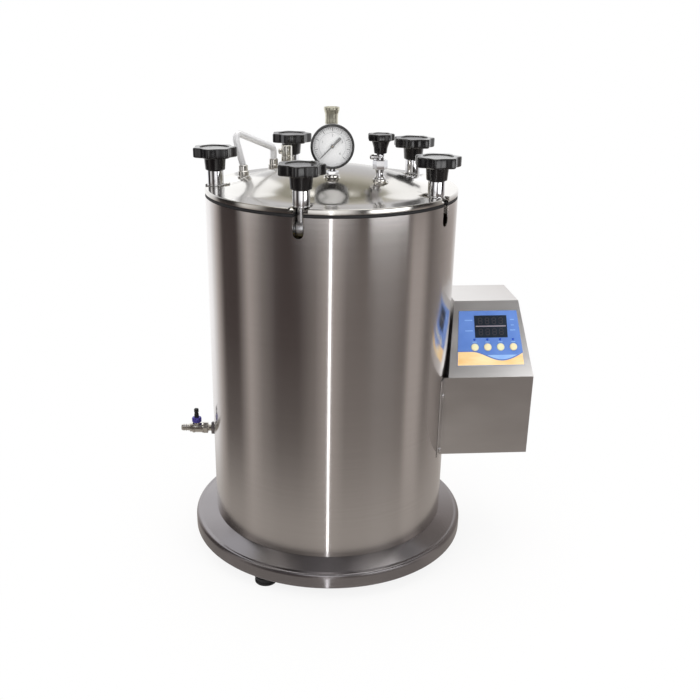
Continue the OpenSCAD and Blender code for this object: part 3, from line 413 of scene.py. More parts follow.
lid = piece("lid_spun", [grid(lid_points)] + [boss(*place) for place in boss_places.values()], mirror, 40)
fit(lid, "lid", "polished_steel", "lid")

# ---------------------------------------------------------------- lid handle
# A bent round bar, bead blasted and welded on two short feet, by which the loose lid is lifted.

handle_r = 5.5 * mm


def tube(path, radius, columns=32, cap=0.35):
    """A round section carried along a path, with rings square to it turned by parallel transport, and domed ends."""
    path = np.asarray(path, float)
    ahead = np.gradient(path, axis=0)
    ahead /= np.linalg.norm(ahead, axis=1)[:, None]
    side = [np.array(Vector(ahead[0]).orthogonal().normalized())]
    for step in ahead[1:]:
        carried = side[-1] - step * (side[-1] @ step)
        side.append(carried / np.linalg.norm(carried))
    side = np.array(side)
    up = np.cross(ahead, side)
    t = np.linspace(0, 2 * np.pi, columns, endpoint=False)
    ring = np.cos(t)[None, :, None] * side[:, None] + np.sin(t)[None, :, None] * up[:, None]
    body = path[:, None] + radius * ring
    dome = ((1, 0), (0.9, 0.45), (0.55, 0.8))
    first = [path[0] - ahead[0] * radius * cap * k + radius * w * ring[0] for k, w in dome]
    last = [path[-1] + ahead[-1] * radius * cap * k + radius * w * ring[-1] for k, w in dome[::-1]]
    return grid(np.concatenate([np.stack(first), body, np.stack(last)]))


def on_lid(x, y, z):
    """A point given in millimetres from the vessel's axis, with z from the lid's flange, in the frame."""
    return np.array([axis_x + x * mm, y * mm, flange_z + z * mm])


foot_a, foot_b = on_lid(-143, 46, 4), on_lid(-97, 110, 4)
foot_a[2] = float(dome_height(math.hypot(143, 46) * mm)) + 4 * mm
foot_b[2] = float(dome_height(math.hypot(97, 110) * mm)) + 4 * mm
rise = np.array([0, 0, 14 * mm])
corner = on_lid(-157, 46, 76)
turn = on_lid(-97, 110, 0.56 * 76)
handle_path = rounded([foot_a + rise * 0.6, foot_a + rise, corner, turn, foot_b + rise, foot_b + rise * 0.6],
                      [4 * mm, 9 * mm, 9 * mm, 0], 10)
stub = rounded([(0, 0), (9 * mm, 0), (9 * mm, 7 * mm), (7.6 * mm, 8 * mm), (7.6 * mm, 17 * mm), (0, 17 * mm)],
               [0.8 * mm, 0.8 * mm, 0.8 * mm, 2.2 * mm], 5)
# Bead-blasted stainless: a pale, almost white grey with no sharp reflection
blasted = mottle(finish("stainless_bead_blasted", "e4e4e6", 0.42, 0.45),
                 500.0, ("dedee0", "ebebec"), (0.36, 0.5), 0.00004)
handle = piece("lid_handle_bar", [tube(handle_path, handle_r)], blasted)
fit(handle, "lid", "polished_steel", "lid_handle")
feet_of_handle = piece("lid_handle_feet", [lathe(stub, foot, columns=48) for foot in (foot_a, foot_b)], mirror)
fit(feet_of_handle, "lid", "polished_steel")

# ---------------------------------------------------------------- clamps
# Five swing bolts with flat eyes on pins, each with a chromed sleeve on a washer and a star knob of
# black phenolic resin. Chrome plate is the sharpest mirror on the machine.

chrome = mottle(finish("chrome_plate", "e2e2e4", 0.1, 1.0), 60.0, ("dcdcdf", "e8e8ea"), (0.07, 0.14))
# Zinc-plated forging under the sleeve: duller and paler than chrome
zinc = mottle(finish("zinc_plate_bright", "dcdddf", 0.3, 1.0),
              120.0, ("d2d3d6", "e6e7e8"), (0.24, 0.38), 0.00003)
# Phenolic resin, compression moulded: black and glossy, with small changes of gloss
phenolic = mottle(finish("phenolic_moulded", "0c0b0d", 0.22, Coat_Weight=0.35, Coat_Roughness=0.12),
                  90.0, ("0a090b", "100f11"), (0.19, 0.24))

washer_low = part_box("clamp_sleeve_1")[0].z
sleeve_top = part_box("clamp_sleeve_1")[1].z
knob_base, knob_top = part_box("star_knob_1")[0].z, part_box("star_knob_1")[1].z
skirt_h = 20 * mm
head_z = knob_base + skirt_h
bolt_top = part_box("swing_bolt_1")[1].z
bore_r = 6 * mm
lobes, knob_r, valley = 7, 35 * mm, 5.4 * mm

sleeve_line = rounded(
    [(bore_r, washer_low), (13 * mm, washer_low), (13 * mm, washer_low + 2 * mm), (12.3 * mm, washer_low + 2 * mm),
     (12.5 * mm, washer_low + 2.6 * mm), (12.5 * mm, sleeve_top), (bore_r, sleeve_top)],
    [0.4 * mm, 0.6 * mm, 0.1 * mm, 0.1 * mm, 1.2 * mm], 5)
skirt_line = rounded(
    [(bore_r, knob_base), (15.4 * mm, knob_base), (17.2 * mm, head_z), (23 * mm, head_z),
     (23 * mm, head_z + 4 * mm), (bore_r, head_z + 4 * mm)],
    [1.6 * mm, 2.6 * mm, 0.5 * mm, 0], 8)
shank_r, shank_low = 5.5 * mm, pivot_z + 6 * mm
eye_bore, eye_half = 4.1 * mm, 6 * mm
pin_r, pin_half = 3.9 * mm, 11.4 * mm
shank_line = rounded([(0, shank_low), (shank_r, shank_low), (shank_r, bolt_top), (0, bolt_top)], [0, 1 * mm], 5)
eye_line = rounded([(eye_bore, -eye_half), (eye_r, -eye_half), (eye_r, eye_half), (eye_bore, eye_half)],
                   [1.8 * mm, 1.8 * mm], 6)
pin_line = rounded([(0, -pin_half), (pin_r, -pin_half), (pin_r, pin_half), (0, pin_half)], [0.8 * mm, 0.8 * mm], 4)


def star_head(at, low, high, radius, dip, recess_r, recess, columns=168):
    """A lobed head: the outline r = R - dip |sin(n t / 2)|^1.5 is carried round a section of (inset, height, share of
    the lobes); insets near the edge follow the outline, and the dished top and the underside fade to circles."""
    t = np.linspace(0, 2 * np.pi, columns, endpoint=False)
    outline = radius - dip * np.abs(np.sin(lobes * t / 2)) ** 1.5
    circle = radius - dip
    section = rounded(
        [(circle * 0.45, low), (radius, low), (radius, high), (recess_r, high),
         (recess_r - 0.4 * mm, high - recess), (0, high - recess)],
        [2.4 * mm, 1.9 * mm, 1 * mm, 0.6 * mm], 8)
    r, z = section.T
    share = np.clip((r - recess_r) / (circle - recess_r), 0, 1) ** 2
    full = r[:, None] + share[:, None] * (outline - radius)[None]
    section_points = [at[0] + full * np.cos(t), at[1] + full * np.sin(t), z[:, None] + 0 * full]
    bottom = np.stack([at[0] + 0 * t, at[1] + 0 * t, low + 0 * t], -1)[None]
    return grid(np.concatenate([bottom, np.stack(section_points, -1)]))


for k, pivot in enumerate(pivots, 1):
    around = (-math.sin(clamp_angles[k - 1]), math.cos(clamp_angles[k - 1]), 0)
    over = (pivot.x, pivot.y, 0)
    forged = [lathe(shank_line, over, columns=48), lathe(eye_line, pivot, around, 64, True)]
    fit(piece(f"swing_bolt_{k}_forged", forged, zinc), f"bolt_{k}", "chrome", f"swing_bolt_{k}")
    sleeve = piece(f"clamp_sleeve_{k}_turned", [lathe(sleeve_line, over, columns=72, closed=True)], chrome)
    fit(sleeve, f"sleeve_{k}", "chrome", f"clamp_sleeve_{k}")
    head = star_head(pivot, head_z, knob_top, knob_r, valley, 23 * mm, 1.5 * mm)
    knob = piece(f"star_knob_{k}_moulded", [head, lathe(skirt_line, over, columns=72, closed=True)], phenolic, 50)
    fit(knob, f"knob_{k}", "black_bakelite", f"star_knob_{k}")
pins = [lathe(pin_line, pivot, (-math.sin(a), math.cos(a), 0), 32) for pivot, a in zip(pivots, clamp_angles)]
fit(piece("clamp_pins_turned", pins, zinc), "root", "chrome", "clamp_pins")

# ---------------------------------------------------------------- pressure gauge
# A 63 mm gauge: black enamelled case and bezel, white enamelled dial with a printed scale, flat glass,
# and a black pointer with a broad tail. Its chromed stem screws into a boss on the lid.

gauge = Vector(joints["needle_turn"]["pos_m"])
gauge.y = sum(c.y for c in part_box("gauge_case")) / 2
out = (0, -1, 0)
case_line = rounded(
    [(0, -14), (31, -14), (31, 7.4), (32.4, 7.4), (32.4, 14), (28.8, 14), (28.8, 12), (30.3, 12), (30.3, -12.5),
     (0, -12.5)],
    [4, 0.2, 0.6, 1.6, 0.9, 0.1, 0.1, 2], 7) * mm
# Stoved black enamel: smooth and glossy with a little dust
enamel = mottle(finish("enamel_black_stoved", "0b0b0c", 0.25, Coat_Weight=0.5, Coat_Roughness=0.08),
                140.0, ("08080a", "131315"), (0.2, 0.34))
case = piece("gauge_case_pressed", [lathe(case_line, gauge, out, 128)], enamel)
fit(case, "lid", "gauge_black", "gauge_case")

dial_r, window_r = 30.2, 30.1
dial_line = rounded([(1.8, 5), (dial_r, 5), (dial_r, 5.8), (1.8, 5.8)], [0.2, 0.2], 3) * mm
# White vitreous enamel, very slightly blue, with a soft gloss
white_enamel = mottle(finish("enamel_white_dial", "f4f4f5", 0.35), 30.0, ("f1f1f3", "f7f7f8"), (0.3, 0.45))
dial = piece("gauge_dial_plate", [lathe(dial_line, gauge, out, 128, True)], white_enamel)
fit(dial, "lid", "dial_white", "gauge_dial")

# Printed scale: grey arc, ticks and plain numbers from 0 to 4, over 270 degrees
ink = mottle(finish("printing_ink", "3b3c40", 0.5), 400.0, ("333438", "47484d"), (0.45, 0.6))
pale_ink = mottle(finish("printing_ink_pale", "9fa2a8", 0.5), 400.0, ("989ba1", "a9acb2"), (0.45, 0.6))
print_y = gauge.y - 5.86 * mm


def on_dial(x, z, lift=0.0):
    """Points on the dial's face from across and up, in the frame."""
    return np.stack([gauge.x + x, print_y - lift + 0 * x, gauge.z + z], -1)


def dial_ticks(angles, inner, outer, half):
    """Thin bars from the inner to the outer radius: c = r(sin a, cos a) with the half width square to it."""
    a = np.asarray(angles)[:, None]
    r = np.array([inner, outer, outer, inner])[None]
    w = np.array([-half, -half, half, half])[None]
    points = on_dial(r * np.sin(a) + w * np.cos(a), r * np.cos(a) - w * np.sin(a)).reshape(-1, 3)
    return points, np.arange(len(points)).reshape(-1, 4)


def dial_arc(inner, outer, start, stop, steps=90):
    """A flat band between two radii and two angles."""
    a = np.linspace(start, stop, steps)
    rows = [on_dial(r * np.sin(a), r * np.cos(a)) for r in (inner, outer)]
    return grid(np.stack(rows), wrap_columns=False)


def flat_print(name, surfaces, material, body="lid", slot="dial_white", facing=Vector((0, -1, 0))):
    """A printed layer: faces all turned to look the way that its plate faces."""
    made = piece(name, surfaces, material)
    work = bmesh.new()
    work.from_mesh(made.data)
    bmesh.ops.reverse_faces(work, faces=[f for f in work.faces if f.normal.dot(facing) < 0])
    work.to_mesh(made.data)
    work.free()
    return fit(made, body, slot)


sweep = math.radians(135)
major, minor = np.linspace(-sweep, sweep, 9), np.linspace(-sweep, sweep, 41)
marks = [dial_ticks(major, 21.5 * mm, 26.5 * mm, 0.45 * mm), dial_ticks(minor, 24 * mm, 26.5 * mm, 0.22 * mm)]
flat_print("gauge_scale_marks", marks, ink)
arcs = [dial_arc(inner * mm, outer * mm, -sweep, sweep) for inner, outer in ((26.5, 27.1), (19.6, 20.1))]
flat_print("gauge_scale_arcs", arcs, pale_ink)

for mark, angle in enumerate(np.linspace(-sweep, sweep, 5)):
    letter = bpy.data.curves.new(f"gauge_number_{mark}", "FONT")
    letter.body, letter.size, letter.align_x, letter.align_y = str(mark), 5.4 * mm, "CENTER", "CENTER"
    shape = bpy.data.meshes.new_from_object(bpy.data.objects.new(letter.name, letter))
    place = on_dial(15.6 * mm * np.sin(angle), 15.6 * mm * np.cos(angle))
    shape.transform(Matrix.Translation(Vector(place)) @ Matrix.Rotation(math.pi / 2, 4, "X"))
    shape.materials.clear()
    shape.materials.append(ink)
    number = bpy.data.objects.new(f"gauge_number_{mark}", shape)
    bpy.context.scene.collection.objects.link(number)
    fit(number, "lid", "dial_white")

# Pointer: a thin blade to the lower left, a broad tail and a domed hub
needle_at = 225


def blade(outline, low, high):
    """A flat plate from an outline in the dial's plane, turned to the rest mark, between two heights."""
    a = math.radians(needle_at)
    x, z = np.asarray(outline, float).T * mm
    across, up = x * math.cos(a) - z * math.sin(a), x * math.sin(a) + z * math.cos(a)
    rows = [np.stack([gauge.x + across, gauge.y - h * mm + 0 * x, gauge.z + up], -1) for h in (low, high)]
    hub = [np.broadcast_to(row.mean(0), row.shape) for row in rows]
    return grid(np.stack([hub[0], rows[0], rows[1], hub[1]]))


pointer_edge = [(-17, -1.4), (-16, -2.1), (-4, -1.5), (8, -1), (24, -0.6)]
pointer = pointer_edge + [(x, -z) for x, z in pointer_edge[::-1]]
hub_line = rounded([(1.1, 7.5), (3, 7.5), (3, 9.1), (1.1, 9.1)], [0.1, 0.6], 4) * mm
# Matt black paint on thin aluminium
matt_black = mottle(finish("paint_matt_black", "0a0a0b", 0.6), 300.0, ("080809", "101011"), (0.55, 0.68))
needle = piece("gauge_pointer", [blade(pointer, 7.5, 8.2), lathe(hub_line, gauge, out, 32, True)], matt_black)
fit(needle, "needle", "needle_black", "gauge_needle")

# Window glass: clear, and thin enough to let almost all the light through
glass_line = rounded([(0, 10), (window_r, 10), (window_r, 11.9), (0, 11.9)], [0.3, 0.3], 3) * mm
glass = mottle(finish("window_glass", "ffffff", 0.03, IOR=1.5, Alpha=0.12),
               80.0, ("fafcfb", "ffffff"), (0.02, 0.06))
fit(piece("gauge_window", [lathe(glass_line, gauge, out, 128)], glass), "lid", "glass", "gauge_glass")

# ---------------------------------------------------------------- control box
# Folded from stainless sheet, satin finished, with a sloped panel; the folds have a small radius that
# catches a line of light. It hangs on two bent tabs screwed to the jacket.


def softened(name, source, width, material, sharp=30.0, segments=3):
    """A copy of a CAD node with its flat faces merged and its edges rounded by a live bevel."""
    mesh = frame["nodes"][source].data.copy()
    work = bmesh.new()
    work.from_mesh(mesh)
    bmesh.ops.remove_doubles(work, verts=work.verts, dist=2e-6)
    bmesh.ops.dissolve_limit(work, angle_limit=math.radians(0.8), verts=work.verts, edges=work.edges)
    work.to_mesh(mesh)
    work.free()
    mesh.shade_smooth()
    mesh.set_sharp_from_angle(angle=math.radians(sharp))
    mesh.materials.clear()
    mesh.materials.append(material)
    made = bpy.data.objects.new(name, mesh)
    bpy.context.scene.collection.objects.link(made)
    bevel = made.modifiers.new("edge", "BEVEL")
    bevel.width, bevel.segments, bevel.limit_method = width, segments, "ANGLE"
    bevel.angle_limit, bevel.harden_normals, bevel.use_clamp_overlap = math.radians(sharp), True, True
    return made


# Stainless with a fine satin grain: a soft warm grey, lighter where it faces up
satin = mottle(finish("stainless_satin_sheet", "d6d4d3", 0.31, 1.0),
               9.0, ("d2d0cf", "dad8d7"), (0.28, 0.34), 0.0, (1, 1, 3))
fit(softened("box_shell_folded", "box_shell", 3.0 * mm, satin), "root", "satin_steel", "box_shell")

panel_out = -Vector(joints["press_1"]["axis"])
panel_right = Vector((-panel_out.y, panel_out.x, 0)).normalized()
panel_up = panel_out.cross(panel_right)
yaw = math.atan2(panel_right.y, panel_right.x)
box_w, box_low_h = 142 * mm, 139 * mm
shell_low, shell_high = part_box("box_shell")
crease = Vector((shell_high.x, shell_low.y + box_w * math.sin(yaw), shell_low.z + box_low_h))


def on_panel(u, v, w=0.0):
    """Points from across (leftwards is negative), up the slope and out of the panel, in millimetres, in the frame."""
    u, v, w = (np.asarray(given, float)[..., None] * mm for given in (u, v, w))
    return np.array(crease) + u * np.array(panel_right) + v * np.array(panel_up) + w * np.array(panel_out)


def panel_point(u, v, w=0.0):
    """One such point as a plain vector."""
    return Vector(on_panel(np.array(u), np.array(v), np.array(w)).tolist())


fit(softened("box_tabs_bent", "box_flange", 0.3 * mm, satin), "root", "satin_steel", "box_flange")
dress(satin, "box_floor_plate")

box_z = shell_low.z
tab_skin = jacket_r + 1.6 * mm
screw_line = rounded(
    [(0, -8 * mm), (2 * mm, -8 * mm), (2 * mm, 0), (4 * mm, 0), (4 * mm, 1 * mm), (2.4 * mm, 3 * mm), (0, 3 * mm)],
    [0.3 * mm, 0.2 * mm, 0.3 * mm, 0.8 * mm, 0.8 * mm], 4)
screws = []
for turn in np.radians([-22.6, 28.8]):
    for height in (12 * mm, 110 * mm):
        radial = (math.cos(turn), math.sin(turn), 0)
        head = (axis_x + tab_skin * radial[0], tab_skin * radial[1], box_z + height)
        screws.append(lathe(screw_line, head, radial, 32))
fit(piece("box_screws_turned", screws, chrome), "root", "satin_steel", "box_screws")

# ---------------------------------------------------------------- control panel
# A printed polyester membrane stuck on the slope: blue, with an orange foot under a wave, a pale sweep
# along it and plain bars for legends. It frames a smoked window, four lamps and four rubber keys.

panel_x, panel_low, membrane_h, face = -70.0, 19.5, 93.0, 0.8
low_half, top_half = 56.5, 48.5
window_u, window_v, key_v, lamp_v = panel_x + 3.5, panel_low + 66, panel_low + 31, panel_low + 44
key_u = panel_x - 25.3 + 21.6 * np.arange(4)

# Screen-printed polyester film over foam: even colour, soft gloss, a fine stipple
polyester = mottle(finish("polyester_film_blue", "5880cc", 0.36),
                   34.0, ("527ac6", "6089d4"), (0.3, 0.42), 0.00001)
dress(polyester, "membrane_panel")
orange = mottle(finish("print_orange", "efb765", 0.4),
                30.0, ("f0b968", "f9e2ae"), (0.34, 0.46), 0.0, (0.5, 0.5, 2))
pale_blue = mottle(finish("print_pale_blue", "8db6ee", 0.4), 40.0, ("84adea", "9ac2f2"), (0.34, 0.46))
deep_blue = mottle(finish("print_deep_blue", "3558b4", 0.4), 40.0, ("3051aa", "3c60be"), (0.34, 0.46))


def wave(share):
    """The foot's upper edge in millimetres: level, then down by a squared sine, then up by a power to the right."""
    dip = 15.5 * np.sin(np.pi / 2 * np.clip((share - 0.2) / 0.48, 0, 1)) ** 2
    return 23.5 - dip + 13 * np.clip((share - 0.68) / 0.32, 0, 1) ** 1.7


def printed(name, start, stop, low, high, material, lift):
    """A flat print between two curves of height above the membrane's foot, over a share of its width."""
    share = np.linspace(start, stop, 70)
    rows = []
    for part in (0, 0.5, 1):
        v = low(share) + part * (high(share) - low(share))
        half = low_half - (low_half - top_half) * v / membrane_h - 0.5
        rows.append(on_panel(panel_x + (2 * share - 1) * half, panel_low + v, face + lift))
    return flat_print(name, [grid(np.stack(rows), wrap_columns=False)], material, "root", "membrane", panel_out)


printed("panel_print_foot", 0, 1, lambda s: 0.5 + 0 * s, wave, orange, 0.05)
printed("panel_print_edge", 0, 1, wave, lambda s: wave(s) + 1.1, deep_blue, 0.05)
printed("panel_print_sweep", 0.43, 0.96, lambda s: wave(s) + 2.2, lambda s: np.maximum(wave(s) + 2.3, 17.6),
        pale_blue, 0.05)


def bars(blocks, lift):
    """Flat bars from rows of (across, up, half length, half height), at a height above the panel."""
    u, v, a, b = np.asarray(blocks, float).T[:, :, None]
    points = on_panel(u + a * np.array([-1, 1, 1, -1]), v + b * np.array([-1, -1, 1, 1]), lift)
    return points.reshape(-1, 3), np.arange(points.shape[0] * 4).reshape(-1, 4)


legends = [(window_u - 37, panel_low + v, 6.5, 0.7) for v in (77, 59)]
legends += [(window_u + 36.5, panel_low + v, half, 0.7) for v, half in ((77.5, 3.5), (68, 2.5), (59.5, 4.5))]
legends += [(u, lamp_v - 4.3, 3.6, 0.55) for u in key_u]
flat_print("panel_print_legends", [bars(legends, face + 0.05)], pale_blue, "root", "membrane", panel_out)

# Smoked acrylic window: near black with a blue cast, and glossy
smoked = mottle(finish("acrylic_smoked", "242a33", 0.12, Coat_Weight=0.3),
                20.0, ("20252d", "2d3641"), (0.08, 0.16))
dress(smoked, "display_window")
divider = mottle(finish("print_pale_grey", "948c98", 0.4), 60.0, ("8c8490", "9d95a1"), (0.34, 0.46))
middle_bar = bars([(window_u, window_v + 0.6, 25.5, 0.9)], face + 0.05)
flat_print("display_divider", [middle_bar], divider, "root", "window", panel_out)

# Unlit seven-segment digits, two rows of four, just visible through the smoke
strokes = np.array([(0, 5, 2.4, 0.5), (0, 0, 2.4, 0.5), (0, -5, 2.4, 0.5),
                    (-3, 2.5, 0.5, 2), (3, 2.5, 0.5, 2), (-3, -2.5, 0.5, 2), (3, -2.5, 0.5, 2)])
digits = [strokes + (window_u + 11.5 * (i - 1.5), window_v + row, 0, 0) for i in range(4) for row in (9.6, -9.2)]
unlit = mottle(finish("digit_unlit", "363238", 0.3), 90.0, ("322e34", "3d383f"), (0.25, 0.35))
flat_print("display_digits", [bars(np.vstack(digits), face + 0.04)], unlit, "root", "window", panel_out)

lens_line = rounded([(0, -6), (2.7, -6), (2.7, -3), (1.95, -3), (1.95, 0.9), (0, 1.3)], [0.1, 0.1, 0.1, 0.7], 4) * mm
# Tinted epoxy lens: deep blue while it is off
lens = mottle(finish("epoxy_lens_blue", "2450c0", 0.15, Coat_Weight=0.4),
              300.0, ("1f48b2", "2b5acd"), (0.1, 0.2))
lenses = [lathe(lens_line, panel_point(u, lamp_v), panel_out, 24) for u in key_u]
fit(piece("indicator_lenses", lenses, lens), "root", "led", "indicator_leds")

key_line = rounded([(0, -4), (7.4, -4), (7.4, -1.55), (6.2, -1.55), (6.2, 1.7), (3.5, 2.15), (0, 2.2)],
                   [0.2, 0.3, 0.2, 1.1, 4], 5) * mm
# Silicone rubber keys: cream to pale green, matt
silicone = mottle(finish("silicone_rubber_cream", "ece6bd", 0.5),
                  34.0, ("f0ddb0", "e2eac2"), (0.44, 0.58), 0.00002)
for k, u in enumerate(key_u, 1):
    key = piece(f"key_{k}_moulded", [lathe(key_line, panel_point(u, key_v), panel_out, 48)], silicone)
    fit(key, f"button_{k}", "button", f"button_{k}")

# ---------------------------------------------------------------- inside and behind the box
# A controller board, a laminated transformer and a conduit to the jacket; a nylon gland in the back
# takes the mains cable.

box_back = Vector((-panel_right.y, panel_right.x, 0))
gland_at = crease + panel_right * -40 * mm + box_back * 161.9 * mm
gland_at.z = box_z + 30 * mm
nut_lines = [rounded([(4, low), (10.9, low), (10.9, high), (4, high)], [0.8, 0.8], 3) * mm
             for low, high in ((0, 6), (-6.2, -1.2))]
gland_nuts = [lathe(line, gland_at, box_back, 6, True) for line in nut_lines]
gland_line = rounded([(4, -9.9), (7.9, -9.9), (7.9, 6), (8.5, 6), (8.5, 10.5), (6, 13), (4, 13)],
                     [0.5, 0.2, 0.2, 1.6, 0.8], 4) * mm
# Glass-filled nylon: black with a dry, even sheen
nylon = mottle(finish("nylon_black", "141416", 0.46), 220.0, ("101012", "1b1b1e"), (0.4, 0.54), 0.00004)
gland = piece("cable_gland_moulded", gland_nuts + [lathe(gland_line, gland_at, box_back, 48, True)], nylon)
fit(gland, "root", "black_plastic", "cable_gland")
dress(nylon, "box_conduit")
# Epoxy glass board under green solder mask, and silicon-steel laminations in brown varnish
epoxy = mottle(finish("epoxy_glass_green", "1f5a34", 0.4), 300.0, ("1a4f2d", "28693f"), (0.32, 0.48))
dress(epoxy, "controller_board")
varnish = mottle(finish("varnished_laminations", "5a3a24", 0.45),
                 120.0, ("4c301d", "6b472e"), (0.38, 0.55), 0.00005, (0.2, 0.2, 9))
dress(varnish, "transformer")

# ---------------------------------------------------------------- drain valve
# A nickel-plated ball valve on the vessel's drain pipe: lock nut, hexagon, barrel and barbed hose
# nipple, with a violet packing hub and a black stub on its stem.

drain_z = pan_high.z + 136 * mm
drain_at = Vector((axis_x - jacket_r, 0, drain_z))
left = (-1, 0, 0)
# Nickel plate: bright, very slightly yellow, softer than chrome
nickel = mottle(finish("nickel_plate", "dcdad3", 0.18, 1.0), 90.0, ("d4d2ca", "e3e1db"), (0.14, 0.25))
pipe_line = rounded([(3.5, -49), (6, -49), (6, 12), (3.5, 12)], [0.3, 0.3], 2) * mm
lock_line = rounded([(5.9, 0.3), (12, 0.3), (12, 6), (5.9, 6)], [0.2, 1.1], 4) * mm
fit(piece("drain_pipe_turned", [lathe(pipe_line, drain_at, left, 40, True)], nickel), "root", "chrome", "drain_pipe")
fit(piece("drain_lock_nut", [lathe(lock_line, drain_at, left, 6, True)], satin_dark), "root", "chrome")
barrel = [(3.5, 20), (9.4, 20), (9.4, 23), (8.7, 23.6), (8.7, 35), (9.4, 35.6), (9.4, 39), (7.8, 40.4), (7.8, 44),
          (5.4, 44)]
barbs = [(5.4, 45.4), (6.2, 45.8), (5.3, 49.2), (6.2, 50.2), (5.3, 53.6), (6.2, 54.6), (4.9, 59), (3.5, 59)]
barrel_line = rounded(barrel + barbs, [0.3] + [0.25] * (len(barrel + barbs) - 3), 3) * mm
hexagon_line = rounded([(3.5, 12), (10.5, 12), (10.5, 20.4), (3.5, 20.4)], [1, 0.6], 4) * mm
stem_at = drain_at + Vector((-31.84 * mm, 0, 0))
neck_line = rounded([(2.6, 4), (6, 4), (6, 10.6), (2.6, 10.6)], [0.3, 0.6], 4) * mm
valve = piece("drain_valve_turned", [
    lathe(barrel_line, drain_at, left, 64, True), lathe(hexagon_line, drain_at, left, 6, True),
    lathe(neck_line, stem_at, columns=40, closed=True)], nickel)
fit(valve, "root", "polished_steel", "drain_valve_body")
# Anodised aluminium hub: violet-blue with a satin metal sheen
violet = mottle(finish("anodised_violet", "4a447c", 0.3, 0.55), 150.0, ("433b8c", "5850a8"), (0.24, 0.38))
hub_part = rounded([(0, 11), (8.4, 11), (8.4, 20), (0, 20)], [1.6, 2.6], 6) * mm
spindle = rounded([(0, 4), (2.5, 4), (2.5, 12), (0, 12)], [0.2, 0.2], 2) * mm
hub = piece("drain_hub_turned", [lathe(hub_part, stem_at, columns=64), lathe(spindle, stem_at, columns=24)], violet)
fit(hub, "drain_handle", "valve_blue", "drain_valve_handle")
stub_part = rounded([(0, 19), (4, 19), (4, 26), (3.4, 27), (3.4, 29), (4, 30), (4, 36), (0, 36)],
                    [0.2, 0.6, 0.6, 0.6, 0.6, 1.4], 4) * mm
grip = piece("drain_stub_moulded", [lathe(stub_part, stem_at, columns=32)], nylon)
fit(grip, "drain_handle", "valve_blue")

# ---------------------------------------------------------------- gauge stem and movement
# A chromed stem with a hexagon screws into the lid's boss. Inside the case a brass Bourdon tube bends
# from its socket and turns the pointer's spindle through a brass movement.

gauge_foot = Vector((axis_x, -72 * mm, float(dome_height(72 * mm)) + 3 * mm))
stem_line = rounded([(0, -9), (4.9, -9), (4.9, 0), (8.2, 0), (8.2, 1.4), (6.4, 2), (6.4, 12.4), (0, 12.4)],
                    [0.4, 0.2, 0.3, 0.4, 0.6, 0.4], 3) * mm
hexagon = rounded([(0, 0.8), (10, 0.8), (10, 6.4), (0, 6.4)], [0.8, 1], 3) * mm
stem_parts = [lathe(stem_line, gauge_foot, columns=48), lathe(hexagon, gauge_foot, columns=6)]
fit(piece("gauge_stem_turned", stem_parts, chrome), "lid", "brass")
brass = mottle(finish("brass_turned", "b98f4a", 0.28, 1.0), 160.0, ("ad8441", "c69c57"), (0.22, 0.36))


def slab(low, high):
    """A block between two corners across, up and out of the gauge, in millimetres."""
    (x0, y0, z0), (x1, y1, z1) = low, high
    x, y = np.array([(x0, x1, x1, x0), (y0, y0, y1, y1)]) * mm
    middle_x, middle_y = x.mean() + 0 * x, y.mean() + 0 * y
    rows = [(middle_x, middle_y, z0), (x, y, z0), (x, y, z1), (middle_x, middle_y, z1)]
    points = [np.stack([gauge.x + a, gauge.y - d * mm + 0 * a, gauge.z + b], -1) for a, b, d in rows]
    return grid(np.stack(points))


t = np.radians(np.linspace(-60, 210, 60))
bourdon_path = np.stack([gauge.x + 21 * mm * np.cos(t), gauge.y + 6 * mm + 0 * t, gauge.z + 21 * mm * np.sin(t)], -1)
spindle_line = rounded([(0, -5), (1, -5), (1, 8.6), (0, 8.6)], [0.1, 0.2], 2) * mm
movement = piece("gauge_movement_brass", [
    tube(bourdon_path, 2.6 * mm, 20), slab((-9, -24, -11), (9, -12, 0)), slab((-4.5, -31, -8.5), (4.5, -21, 0.5)),
    slab((-10, -14, -5), (10, 11, -2)), slab((-10, -11, -5), (-5, 11, 3)), lathe(spindle_line, gauge, out, 20)], brass)
fit(movement, "lid", "brass", "gauge_movement")

# ---------------------------------------------------------------- safety valve
# A spring-loaded valve: hexagon, hollow barrel with its spring, and a lifting cap that flares at its top,
# all nickel plated over brass, so that it shows a faint olive.

safety_at = Vector((axis_x, 60 * mm, float(dome_height(60 * mm)) + 3 * mm))
olive = mottle(finish("nickel_over_brass", "cbc8b6", 0.28, 1.0), 40.0, ("c2bfaa", "d4d1c1"), (0.25, 0.33))
base_line = rounded([(0, 0), (13.4, 0), (13.4, 14), (0, 14)], [0.8, 1.4], 4) * mm
barrel_part = rounded([(0, -9), (4.9, -9), (4.9, 0), (11, 0), (11, 24), (10.4, 25), (11, 26), (11, 56.5), (2.7, 56.5),
                       (2.7, 52.5), (8, 52.5), (8, 6), (0, 6)],
                      [0.4, 0.2, 0.2, 0.6, 0.6, 0.6, 1.2, 0.2, 0.2, 0.4, 0.4], 3) * mm
body_parts = [lathe(base_line, safety_at, columns=6), lathe(barrel_part, safety_at, columns=64)]
fit(piece("safety_barrel_turned", body_parts, olive), "lid", "satin_steel", "safety_valve_body")
cap_part = rounded([(0, 58), (10.7, 58), (10.3, 66), (10.7, 74), (12.6, 79.5), (12.7, 84), (9.6, 84), (9.2, 82),
                    (0, 82)],
                   [0.8, 6, 6, 3, 0.9, 0.8, 0.4], 6) * mm
rod_part = rounded([(0, 6.3), (6, 6.3), (6, 9.3), (2.5, 9.3), (2.5, 58.4), (0, 58.4)], [0.3, 0.3, 0.4, 0.1], 3) * mm
cap_parts = [lathe(cap_part, safety_at, columns=96), lathe(rod_part, safety_at, columns=32)]
fit(piece("safety_cap_turned", cap_parts, olive), "safety_stem", "satin_steel", "safety_valve_stem")
